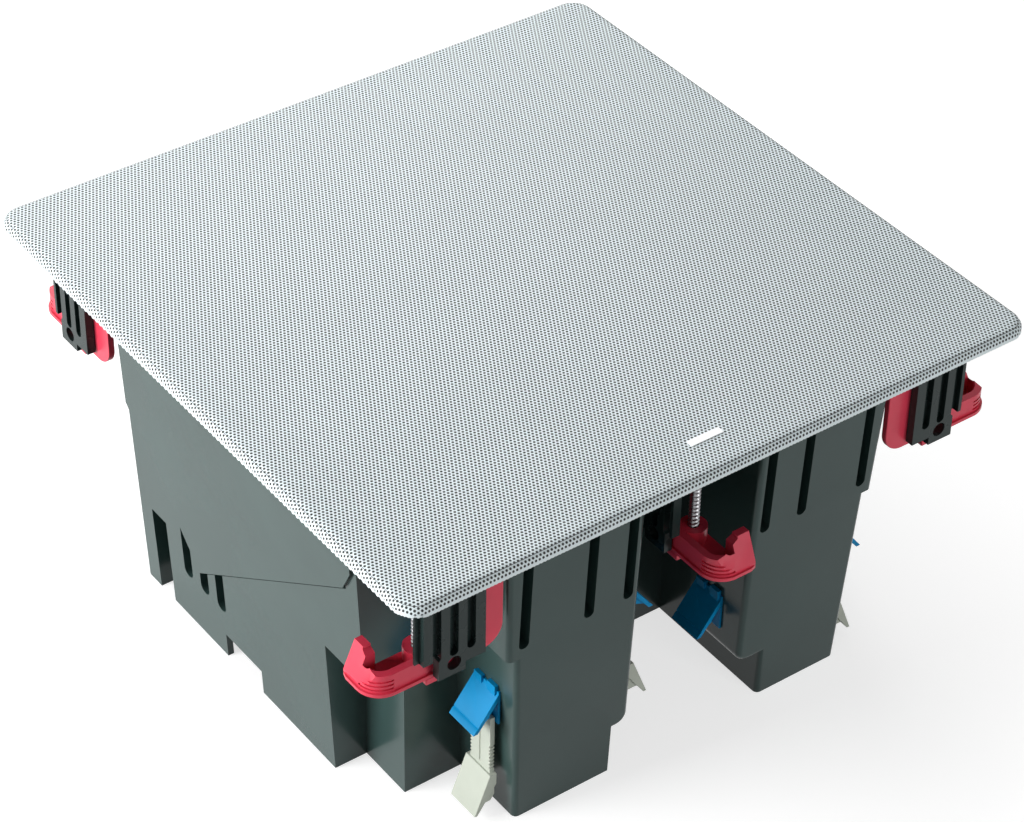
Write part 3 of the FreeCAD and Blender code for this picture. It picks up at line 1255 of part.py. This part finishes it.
os.makedirs("parts", exist_ok=True)
for name, thing in nodes.items():
    thing.Shape.exportStep(f"parts/{name}.step")
    print(f"{name:32s} solids {len(thing.Shape.Solids):2d} volume {thing.Shape.Volume:12.1f}")
print(len(nodes), "nodes")
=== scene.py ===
"""Looks of the square in-ceiling loudspeaker, standing on its box with the grille up."""

import json
import math

import bmesh
import bpy
import numpy as np
from mathutils import Matrix, Vector

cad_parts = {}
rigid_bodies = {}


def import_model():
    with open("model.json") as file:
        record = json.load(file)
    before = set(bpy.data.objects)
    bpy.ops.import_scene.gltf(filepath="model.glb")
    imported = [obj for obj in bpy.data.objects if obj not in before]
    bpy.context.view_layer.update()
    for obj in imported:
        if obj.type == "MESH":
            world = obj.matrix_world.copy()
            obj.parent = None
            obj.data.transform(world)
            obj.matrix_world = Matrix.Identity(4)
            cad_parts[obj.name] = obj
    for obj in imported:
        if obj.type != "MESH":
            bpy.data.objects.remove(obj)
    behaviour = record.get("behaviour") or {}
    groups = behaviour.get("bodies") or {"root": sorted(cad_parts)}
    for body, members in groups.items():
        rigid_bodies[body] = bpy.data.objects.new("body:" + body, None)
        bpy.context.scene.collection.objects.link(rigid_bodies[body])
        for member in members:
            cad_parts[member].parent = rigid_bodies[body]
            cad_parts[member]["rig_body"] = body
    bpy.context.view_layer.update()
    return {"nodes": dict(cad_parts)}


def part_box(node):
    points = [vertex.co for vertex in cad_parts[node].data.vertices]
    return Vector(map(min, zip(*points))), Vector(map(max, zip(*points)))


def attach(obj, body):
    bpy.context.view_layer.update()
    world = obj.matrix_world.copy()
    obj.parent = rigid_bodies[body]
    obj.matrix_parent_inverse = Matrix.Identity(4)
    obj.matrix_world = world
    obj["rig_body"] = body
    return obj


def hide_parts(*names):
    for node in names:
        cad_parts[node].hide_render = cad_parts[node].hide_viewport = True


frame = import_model()
nodes = frame["nodes"]
scene = bpy.context.scene
MM = 0.001

# Sizes of the grille, in metres
TOP_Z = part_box("grille")[1].z
RIM_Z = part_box("grille")[0].z
GRILLE_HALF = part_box("grille")[1].x
CORNER = 11 * MM
ROLL = 4 * MM
SHEET = 0.8 * MM
CORNER_STEPS = 14
RING_EDGE = math.radians(35)

# The staggered holes, and how far past the start of the rolled edge they go on
HOLE_PITCH = 1.776 * MM
HOLE_RADIUS = 0.605 * MM
HOLE_LIMIT = 5.9 * MM
FACE_PIECES = 4
KEY_STRIDE = 100003
LEAST_REACH = 1e-12

# A dark cloth behind the flat sheet, and its lining under the rolled edge, with bends in degrees. The cloth
# is guessed to be there, and its dark tone is painted shade, standing in for the shaded walls of the holes
# that the thin sheet lacks
LINING_RADIUS = ROLL - 0.35 * MM
LINING_BENDS = (30, 45, 60, 75, 86)
SHADE_CLOTH_DROP = 0.55 * MM
SHADE_CLOTH_THICK = 0.15 * MM
SHADE_CLOTH_REACH = ROLL * 0.55

# The flat middle of the grille, the arc over its edge and the skirt below that
FLAT_HALF = GRILLE_HALF - CORNER
FLAT_CORNER = CORNER - ROLL
ROLL_LENGTH = ROLL * math.pi / 2
SKIRT = TOP_Z - ROLL - RIM_Z

# Noise in the finishes: where its tones begin and end, its detail and the depth of the grain
TINT_START = 0.3
TINT_END = 0.7
PATCH_DETAIL = 4.0
SMUDGE_DETAIL = 3.0
SMUDGE_RATIO = 3.0
GRAIN_DETAIL = 2.0
GRAIN_DEPTH = 0.1 * MM
LEAST_ROUGH = 0.02


# Materials
def colour(r, g, b):
    return (r, g, b, 1.0)


def new_material(name):
    material = bpy.data.materials.new(name)
    material.use_nodes = True
    tree = material.node_tree
    return material, tree, tree.nodes["Principled BSDF"]


def noise(tree, scale, detail, coordinates):
    node = tree.nodes.new("ShaderNodeTexNoise")
    node.inputs["Scale"].default_value = scale
    node.inputs["Detail"].default_value = detail
    tree.links.new(coordinates, node.inputs["Vector"])
    return node


def finish(name, base, rough, metal=0.0, vary=0.12, patch=18.0, grain=2600.0, bump=0.05, rough_vary=0.08,
           specular=0.5, stretch=(1, 1, 1), sheen=0.0):
    """A surface with soft colour patches, uneven gloss and a fine grain."""
    material, tree, shader = new_material(name)
    place = tree.nodes.new("ShaderNodeTexCoord")
    mapping = tree.nodes.new("ShaderNodeMapping")
    mapping.inputs["Scale"].default_value = stretch
    tree.links.new(place.outputs["Object"], mapping.inputs["Vector"])
    spots = noise(tree, patch, PATCH_DETAIL, mapping.outputs["Vector"])
    tint = tree.nodes.new("ShaderNodeValToRGB")
    darker, lighter = tint.color_ramp.elements
    darker.position = TINT_START
    lighter.position = TINT_END
    darker.color = colour(*(c * (1 - vary) for c in base))
    lighter.color = colour(*(min(1.0, c * (1 + vary)) for c in base))
    tree.links.new(spots.outputs["Fac"], tint.inputs["Fac"])
    tree.links.new(tint.outputs["Color"], shader.inputs["Base Color"])
    smudge = noise(tree, patch * SMUDGE_RATIO, SMUDGE_DETAIL, mapping.outputs["Vector"])
    gloss = tree.nodes.new("ShaderNodeMapRange")
    gloss.inputs["To Min"].default_value = max(LEAST_ROUGH, rough - rough_vary)
    gloss.inputs["To Max"].default_value = min(1.0, rough + rough_vary)
    tree.links.new(smudge.outputs["Fac"], gloss.inputs["Value"])
    tree.links.new(gloss.outputs["Result"], shader.inputs["Roughness"])
    fine = noise(tree, grain, GRAIN_DETAIL, mapping.outputs["Vector"])
    relief = tree.nodes.new("ShaderNodeBump")
    relief.inputs["Strength"].default_value = bump
    relief.inputs["Distance"].default_value = GRAIN_DEPTH
    tree.links.new(fine.outputs["Fac"], relief.inputs["Height"])
    tree.links.new(relief.outputs["Normal"], shader.inputs["Normal"])
    shader.inputs["Metallic"].default_value = metal
    shader.inputs["Specular IOR Level"].default_value = specular
    shader.inputs["Sheen Weight"].default_value = sheen
    return material


WHITE = finish("white_paint", (0.75, 0.835, 0.855), 0.42, vary=0.015, bump=0.08, grain=1800.0)
# A backing cloth guessed to be there, coloured dark as painted shade for the shaded hole walls that the
# thin sheet lacks
SCRIM_PAINTED_SHADE = finish("scrim_painted_shade", (0.060, 0.066, 0.068), 0.9, vary=0.15, patch=600.0, grain=4200.0, bump=0.4)
BADGE = finish("badge_metal", (0.74, 0.77, 0.78), 0.35, metal=0.3, vary=0.03, stretch=(1, 12, 1))
BLACK = finish("black_plastic", (0.030, 0.058, 0.054), 0.20, vary=0.10, patch=14.0, bump=0.04,
               rough_vary=0.04, specular=0.24)
FRAME = finish("frame_plastic", (0.013, 0.024, 0.023), 0.28, vary=0.10, patch=20.0, bump=0.05, specular=0.2)
RED = finish("red_plastic", (0.66, 0.043, 0.082), 0.34, vary=0.10, patch=40.0, bump=0.06, specular=0.3)
BLUE = finish("blue_plastic", (0.003, 0.235, 0.50), 0.38, vary=0.10, patch=45.0, bump=0.06, specular=0.08)
CREAM = finish("cream_plastic", (0.47, 0.505, 0.435), 0.45, vary=0.06, patch=45.0, bump=0.06, specular=0.3)
# Plated steel with a darker base than bare plating, as painted shade for the clamp screws that sit in the
# shaded recess
STEEL_WITH_PAINTED_SHADE = finish("plated_steel", (0.26, 0.26, 0.27), 0.32, metal=1.0, vary=0.10, patch=90.0,
               stretch=(1, 1, 6))
FERRITE = finish("ferrite", (0.05, 0.05, 0.055), 0.6, vary=0.2, patch=120.0, bump=0.25)
CONE = finish("cone_poly", (0.035, 0.035, 0.038), 0.5, vary=0.2, patch=160.0, bump=0.3, grain=900.0)
RUBBER = finish("surround_rubber", (0.018, 0.018, 0.018), 0.55, vary=0.1, patch=60.0)
CLOTH = finish("spider_cloth", (0.55, 0.40, 0.14), 0.9, vary=0.2, patch=300.0, bump=0.6, grain=1500.0,
               sheen=0.3)
WOOD = finish("board_wood", (0.30, 0.20, 0.12), 0.7, vary=0.25, patch=60.0, bump=0.2, stretch=(1, 8, 8))
CIRCUIT = finish("circuit_board", (0.02, 0.17, 0.06), 0.35, vary=0.15, patch=200.0)
COPPER = finish("copper_wire", (0.62, 0.28, 0.12), 0.3, metal=1.0, vary=0.15, patch=30.0,
                stretch=(1, 1, 60))
WADDING = finish("wadding_cloth", (0.78, 0.78, 0.76), 1.0, vary=0.1, patch=80.0, bump=0.9, grain=500.0,
                 sheen=0.4)


# Mesh pieces
def add_piece(name, mesh, material, body, slot, *replaced):
    piece = bpy.data.objects.new(name, mesh)
    scene.collection.objects.link(piece)
    mesh.materials.clear()
    mesh.materials.append(material)
    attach(piece, body)
    if replaced:
        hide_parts(*replaced)
    return piece


def mesh_of(name, points, faces, smooth=True):
    mesh = bpy.data.meshes.new(name)
    mesh.from_pydata([tuple(p) for p in points], [], [tuple(int(k) for k in f) for f in faces])
    mesh.update()
    if smooth:
        mesh.shade_smooth()
    return mesh


def wrap(flat):
    """Fold flat points of the grille's sheet down over its rolled edge."""
    sign = np.where(flat < 0, -1.0, 1.0)
    over = np.maximum(np.abs(flat) - FLAT_HALF, 0.0)
    reach = np.linalg.norm(over, axis=1)
    out = over / np.maximum(reach, LEAST_REACH)[:, None]
    beyond = np.clip(reach - FLAT_CORNER, 0.0, ROLL_LENGTH + SKIRT)
    angle = np.minimum(beyond, ROLL_LENGTH) / ROLL
    held = np.minimum(reach, FLAT_CORNER)
    plan = (np.minimum(np.abs(flat), FLAT_HALF) + out * (held + ROLL * np.sin(angle))[:, None]) * sign
    drop = ROLL * (1 - np.cos(angle)) + np.maximum(beyond - ROLL_LENGTH, 0.0)
    return np.column_stack([plan, TOP_Z - drop])


def past_edge(flat):
    """How far flat points lie beyond the start of the rolled edge."""
    over = np.maximum(np.abs(flat) - FLAT_HALF, 0.0)
    return np.linalg.norm(over, axis=1) - FLAT_CORNER


def perforated_face():
    """The perforated sheet: one six-sided cell for each hole of the staggered pattern."""
    side = HOLE_PITCH / math.sqrt(3)
    limit = GRILLE_HALF + ROLL
    rows = int(limit / (1.5 * side))
    columns = int(limit / HOLE_PITCH)
    row, column = np.mgrid[-rows:rows + 1, -columns:columns + 1]
    row = row.ravel()
    x_code = 2 * column.ravel() + row % 2
    y_code = 3 * row
    unit = np.array([HOLE_PITCH / 2, side / 2])
    centre = np.column_stack([x_code, y_code]) * unit
    used = past_edge(centre) < ROLL_LENGTH + SKIRT
    x_code, y_code, centre = x_code[used], y_code[used], centre[used]
    steps = np.array([(1, -1), (1, 1), (0, 2), (-1, 1), (-1, -1), (0, -2)])
    corner_code = np.stack([x_code, y_code], axis=1)[:, None, :] + steps[None]
    corner_key = corner_code[..., 0] * KEY_STRIDE + corner_code[..., 1]
    holed = past_edge(centre) < HOLE_LIMIT
    turn = np.arctan2(steps[:, 1] * unit[1], steps[:, 0] * unit[0])
    ring = np.column_stack([np.cos(turn), np.sin(turn)]) * HOLE_RADIUS
    band = np.clip(((centre[:, 1] / GRILLE_HALF + 1) / 2 * FACE_PIECES).astype(int), 0, FACE_PIECES - 1)
    for k in range(FACE_PIECES):
        mine = band == k
        found = np.unique(corner_key[mine].ravel(), return_index=True, return_inverse=True)
        first, where = found[1:]
        corners = corner_code[mine].reshape(-1, 2)[first] * unit
        where = where.reshape(-1, 6)
        with_hole = holed[mine]
        rims = (centre[mine][with_hole][:, None, :] + ring[None]).reshape(-1, 2)
        points = wrap(np.vstack([corners, rims]))
        rim_index = len(corners) + np.arange(len(rims)).reshape(-1, 6)
        outer = where[with_hole]
        after = np.roll(np.arange(6), -1)
        quads = np.stack([outer, outer[:, after], rim_index[:, after], rim_index], axis=2).reshape(-1, 4)
        faces = list(quads) + list(where[~with_hole])
        mesh = mesh_of(f"grille_face_{k + 1}", points, faces)
        add_piece(f"grille_face_{k + 1}", mesh, WHITE, "housing", "white_steel", "grille")


def edge_path():
    """Points and outward directions round the start of the rolled edge."""
    path = []
    for quarter in range(4):
        sx = 1 if quarter in (0, 3) else -1
        sy = 1 if quarter in (0, 1) else -1
        for k in range(CORNER_STEPS + 1):
            angle = math.pi / 2 * (quarter + k / CORNER_STEPS)
            out = Vector((math.cos(angle), math.sin(angle), 0))
            path.append((Vector((sx * FLAT_HALF, sy * FLAT_HALF, 0)) + out * FLAT_CORNER, out))
    return path


def swept_ring(name, profile):
    """A closed ring: a profile of outward reach and height swept round the edge path."""
    path = edge_path()
    points = [spot + out * reach + Vector((0, 0, z)) for spot, out in path for reach, z in profile]
    count, across = len(path), len(profile)
    faces = []
    for k in range(count):
        for j in range(across):
            here, there = k * across, (k + 1) % count * across
            step = (j + 1) % across
            faces.append((here + j, here + step, there + step, there + j))
    mesh = mesh_of(name, points, faces)
    mesh.set_sharp_from_angle(angle=RING_EDGE)
    return mesh


def grille():
    """The perforated sheet, the plain hem inside its edge, and the dark cloth behind both, whose dark tone
    is painted shade seen through the holes.
    """
    perforated_face()
    inside = ROLL - SHEET
    hem_top = TOP_Z - ROLL
    profile = [(LINING_RADIUS, hem_top), (LINING_RADIUS, RIM_Z), (inside, RIM_Z), (inside, hem_top)]
    add_piece("grille_rim", swept_ring("grille_rim", profile), WHITE, "housing", "white_steel", "grille")
    # The dark backing sheet under the flat holes: painted shade seen through them
    path = edge_path()
    upper = [spot + out * SHADE_CLOTH_REACH + Vector((0, 0, TOP_Z - SHADE_CLOTH_DROP)) for spot, out in path]
    lower = [p - Vector((0, 0, SHADE_CLOTH_THICK)) for p in upper]
    count = len(path)
    faces = [tuple(range(count)), tuple(range(2 * count - 1, count - 1, -1))]
    faces += [(k, k + count, (k + 1) % count + count, (k + 1) % count) for k in range(count)]
    mesh = mesh_of("grille_scrim_painted_shade", upper + lower, faces, False)
    add_piece("grille_scrim_painted_shade", mesh, SCRIM_PAINTED_SHADE, "housing", "white_steel", "grille")
    # The dark lining under the rolled edge: painted shade seen through the holes there
    bends = [math.radians(angle) for angle in LINING_BENDS]
    arcs = [(LINING_RADIUS, bends), (LINING_RADIUS - SHADE_CLOTH_THICK, bends[::-1])]
    profile = [(r * math.sin(a), hem_top + r * math.cos(a)) for r, turns in arcs for a in turns]
    mesh = swept_ring("grille_lining_painted_shade", profile)
    add_piece("grille_lining_painted_shade", mesh, SCRIM_PAINTED_SHADE, "housing", "white_steel", "grille")


grille()


# Walls larger than the area stay flat; bends between the two limits belong to one curve
FLAT_AREA = 300 * MM ** 2
FLAT_LIMIT = math.radians(0.5)
CURVE_LIMIT = math.radians(38)
EDGE_LIMIT = math.radians(40)
EDGE_SEGMENTS = 2
WELD = 0.002 * MM


def flat_walls(work):
    """Groups of faces that lie in one plane and touch."""
    walls = []
    seen = set()
    for first in work.faces:
        wall = []
        waiting = [first]
        while waiting:
            face = waiting.pop()
            if face in seen:
                continue
            seen.add(face)
            wall.append(face)
            for edge in face.edges:
                if edge.calc_face_angle(math.pi) < FLAT_LIMIT:
                    waiting += edge.link_faces
        if wall:
            walls.append(wall)
    return walls


def own_shape(node_name):
    """The node's own corners and faces, without its stored normals."""
    data = nodes[node_name].data
    points = [vertex.co for vertex in data.vertices]
    faces = [polygon.vertices for polygon in data.polygons]
    mesh = mesh_of(f"{node_name}_shape", points, faces, False)
    work = bmesh.new()
    work.from_mesh(mesh)
    bmesh.ops.remove_doubles(work, verts=work.verts, dist=WELD)
    return mesh, work


def softened(node_name, material, slot, width):
    """The node's own shape with flat walls, smooth curves and rounded edges."""
    mesh, work = own_shape(node_name)
    bmesh.ops.dissolve_limit(work, angle_limit=FLAT_LIMIT, verts=work.verts, edges=work.edges)
    for wall in flat_walls(work):
        bends = [edge.calc_face_angle(0.0) for face in wall for edge in face.edges]
        curved = any(FLAT_LIMIT < bend < CURVE_LIMIT for bend in bends)
        small = sum(face.calc_area() for face in wall) < FLAT_AREA
        for face in wall:
            face.smooth = curved and small
    work.to_mesh(mesh)
    work.free()
    mesh.set_sharp_from_angle(angle=CURVE_LIMIT)
    piece = add_piece(f"{node_name}_shape", mesh, material, nodes[node_name]["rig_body"], slot, node_name)
    rounding = piece.modifiers.new("edges", "BEVEL")
    rounding.width = width
    rounding.segments = EDGE_SEGMENTS
    rounding.limit_method = "ANGLE"
    rounding.angle_limit = EDGE_LIMIT
    rounding.use_clamp_overlap = True
    rounding.harden_normals = True


# Clamp screws with a coarse rolled thread and a blunt point
SHANK_RADIUS = 2.5 * MM
HEAD_HEIGHT = 3.0 * MM
THREAD_PITCH = 2.0 * MM
THREAD_DEPTH = 0.45 * MM
THREAD_STEPS = 8
THREAD_EDGE = math.radians(50)
ROUND_STEPS = 24
CREST_SLOPE = 1.6
POINT_TURNS = 2
POINT_SHARE = 0.4


def threaded_screw(node_name):
    """The node's own head on a shank that carries a thread."""
    low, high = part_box(node_name)
    x, y = (low.x + high.x) / 2, (low.y + high.y) / 2
    seat = high.z - HEAD_HEIGHT
    mesh, work = own_shape(node_name)
    bmesh.ops.bisect_plane(work, geom=work.verts[:] + work.edges[:] + work.faces[:], plane_co=(0, 0, seat),
                           plane_no=(0, 0, 1), clear_inner=True)
    levels = int((seat - low.z) / THREAD_PITCH * THREAD_STEPS)
    rings = []
    for k in range(levels + 1):
        z = low.z + (seat - low.z) * k / levels
        ring = []
        for j in range(ROUND_STEPS):
            angle = 2 * math.pi * j / ROUND_STEPS
            turn = ((z - low.z) / THREAD_PITCH - j / ROUND_STEPS) % 1.0
            crest = 1.0 - min(1.0, abs(2 * turn - 1) * CREST_SLOPE)
            taper = min(1.0, k / (POINT_TURNS * THREAD_STEPS) + POINT_SHARE)
            reach = (SHANK_RADIUS - THREAD_DEPTH + THREAD_DEPTH * crest) * taper
            ring.append(work.verts.new((x + reach * math.cos(angle), y + reach * math.sin(angle), z)))
        rings.append(ring)
    for lower, upper in zip(rings, rings[1:]):
        for j in range(ROUND_STEPS):
            after = (j + 1) % ROUND_STEPS
            work.faces.new((lower[j], lower[after], upper[after], upper[j]))
    work.faces.new(rings[0][::-1])
    work.to_mesh(mesh)
    work.free()
    mesh.shade_smooth()
    mesh.set_sharp_from_angle(angle=THREAD_EDGE)
    add_piece(f"{node_name}_shape", mesh, STEEL_WITH_PAINTED_SHADE, nodes[node_name]["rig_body"], "plated_steel", node_name)


# Widths of the rounded edges
HOOK_EDGE = 0.7 * MM
CARRIAGE_EDGE = 0.5 * MM
CATCH_EDGE = 0.4 * MM
SLIDE_EDGE = 0.25 * MM
BOX_EDGE = 0.5 * MM
FRAME_EDGE = 0.35 * MM

for name in sorted(nodes):
    if name.startswith("clamp_hook"):
        softened(name, RED, "red_plastic", HOOK_EDGE)
    elif name.startswith("clamp_carriage"):
        softened(name, RED, "red_plastic", CARRIAGE_EDGE)
    elif name.startswith("catch"):
        softened(name, BLUE, "blue_plastic", CATCH_EDGE)
    elif name.startswith("ratchet_slide"):
        softened(name, CREAM, "cream_plastic", SLIDE_EDGE)
    elif name.startswith("clamp_screw"):
        threaded_screw(name)
softened("back_box", BLACK, "black_plastic", BOX_EDGE)
softened("frame", FRAME, "black_plastic", FRAME_EDGE)

# Finishes of the pieces that keep their own shape
FINISH = {
    "badge": BADGE, "screws": STEEL_WITH_PAINTED_SHADE, "top_plate": STEEL_WITH_PAINTED_SHADE, "yoke": STEEL_WITH_PAINTED_SHADE, "basket": STEEL_WITH_PAINTED_SHADE,
    "magnet": FERRITE, "tweeter_motor": FERRITE, "surround": RUBBER, "spider": CLOTH, "tweeter_dome": CLOTH,
    "woofer_cone": CONE, "dust_cap": CONE, "baffle": WOOD, "filter_board": CIRCUIT, "filter_chokes": COPPER,
    "voice_coil": COPPER, "filter_capacitors": RUBBER, "wadding": WADDING, "terminal_red": RED,
    "terminal_black": BLACK, "terminal_plate": FRAME, "tweeter_plate": FRAME,
}
for name, thing in nodes.items():
    if thing.hide_render:
        continue
    for key in sorted(FINISH, key=len, reverse=True):
        if key in name:
            thing.data.materials.clear()
            thing.data.materials.append(FINISH[key])
            break

# Camera
AZIMUTH = math.radians(-36.639)
ELEVATION = math.radians(38.618)
ROLL_ANGLE = math.radians(-1.068)
LENS = 113.56
SENSOR = 36.0
NEAREST = 0.01
OFFSET = Vector((-3.543, -61.652, 1377.94)) * MM
back = Vector((math.sin(AZIMUTH) * math.cos(ELEVATION), -math.cos(AZIMUTH) * math.cos(ELEVATION),
               math.sin(ELEVATION)))
ahead = -back
across = ahead.cross(Vector((0, 0, 1))).normalized()
down = ahead.cross(across)
rolled_across = math.cos(ROLL_ANGLE) * across + math.sin(ROLL_ANGLE) * down
rolled_down = -math.sin(ROLL_ANGLE) * across + math.cos(ROLL_ANGLE) * down
place = -(OFFSET.x * rolled_across + OFFSET.y * rolled_down + OFFSET.z * ahead) + Vector((0, 0, TOP_Z))
turn = Matrix((rolled_across, -rolled_down, -ahead)).transposed()
lens = bpy.data.cameras.new("camera")
lens.lens = LENS
lens.sensor_width = SENSOR
lens.clip_start = NEAREST
camera = bpy.data.objects.new("camera", lens)
camera.matrix_world = Matrix.Translation(place) @ turn.to_4x4()
scene.collection.objects.link(camera)
scene.camera = camera


# Studio
AMBIENT = 0.15
FLOOR_SIZE = 30.0
FLOOR_TONE = 0.5
FLOOR_ROUGH = 0.9
# The floor glows less near the object than far off: painted shade in a disc round the object, so that the
# lamps' shadows show there while the far floor stays white
GLOW_START = 0.2
GLOW_END = 1.0
GLOW_NEAR_PAINTED_SHADE = 0.70
GLOW_FAR = 0.93


def lamp(name, spot, target, size, power):
    light = bpy.data.lights.new(name, "AREA")
    light.size = size
    light.energy = power
    holder = bpy.data.objects.new(name, light)
    holder.location = spot
    holder.rotation_euler = (Vector(target) - Vector(spot)).to_track_quat("-Z", "Y").to_euler()
    scene.collection.objects.link(holder)


def seen_directly(tree):
    """One for rays from the camera, from a glossy surface or through a clear one, else zero."""
    path = tree.nodes.new("ShaderNodeLightPath")
    first = tree.nodes.new("ShaderNodeMath")
    first.operation = "MAXIMUM"
    second = tree.nodes.new("ShaderNodeMath")
    second.operation = "MAXIMUM"
    tree.links.new(path.outputs["Is Camera Ray"], first.inputs[0])
    tree.links.new(path.outputs["Is Glossy Ray"], first.inputs[1])
    tree.links.new(first.outputs[0], second.inputs[0])
    tree.links.new(path.outputs["Is Transmission Ray"], second.inputs[1])
    return second.outputs[0]


world = bpy.data.worlds.new("studio")
scene.world = world
world.use_nodes = True
sky = world.node_tree
ambient = sky.nodes["Background"]
ambient.inputs["Color"].default_value = colour(1, 1, 1)
level = sky.nodes.new("ShaderNodeMapRange")
level.inputs["To Min"].default_value = AMBIENT
level.inputs["To Max"].default_value = 1.0
sky.links.new(seen_directly(sky), level.inputs["Value"])
sky.links.new(level.outputs["Result"], ambient.inputs["Strength"])

floor_corners = [(x * FLOOR_SIZE, y * FLOOR_SIZE, 0) for x, y in ((-1, -1), (1, -1), (1, 1), (-1, 1))]
floor_mesh = mesh_of("floor", floor_corners, [(0, 1, 2, 3)], False)
floor = bpy.data.objects.new("floor", floor_mesh)
scene.collection.objects.link(floor)
paper, paper_tree, paper_shader = new_material("floor_paper")
paper_shader.inputs["Base Color"].default_value = colour(FLOOR_TONE, FLOOR_TONE, FLOOR_TONE)
paper_shader.inputs["Roughness"].default_value = FLOOR_ROUGH
paper_shader.inputs["Emission Color"].default_value = colour(1, 1, 1)
spot = paper_tree.nodes.new("ShaderNodeTexCoord")
away = paper_tree.nodes.new("ShaderNodeVectorMath")
away.operation = "LENGTH"
paper_tree.links.new(spot.outputs["Object"], away.inputs[0])
# Glow rising with distance from the object: painted shade near it
painted_shade_fade = paper_tree.nodes.new("ShaderNodeMapRange")
painted_shade_fade.interpolation_type = "SMOOTHSTEP"
painted_shade_fade.inputs["From Min"].default_value = GLOW_START
painted_shade_fade.inputs["From Max"].default_value = GLOW_END
painted_shade_fade.inputs["To Min"].default_value = GLOW_NEAR_PAINTED_SHADE
painted_shade_fade.inputs["To Max"].default_value = GLOW_FAR
paper_tree.links.new(away.outputs["Value"], painted_shade_fade.inputs["Value"])
glow = paper_tree.nodes.new("ShaderNodeMath")
glow.operation = "MULTIPLY"
paper_tree.links.new(seen_directly(paper_tree), glow.inputs[0])
paper_tree.links.new(painted_shade_fade.outputs["Result"], glow.inputs[1])
paper_tree.links.new(glow.outputs[0], paper_shader.inputs["Emission Strength"])
floor_mesh.materials.append(paper)

lamp("key", spot=(-1.65, 0.45, 0.60), target=(0, 0, 0.08), size=0.9, power=44)
lamp("overhead", spot=(0.2, 0.95, 1.05), target=(0, 0, 0.12), size=1.2, power=14.5)
lamp("front", spot=(0.35, -1.55, 0.34), target=(0, 0, 0.12), size=0.6, power=7.5)

scene.view_settings.view_transform = "Standard"
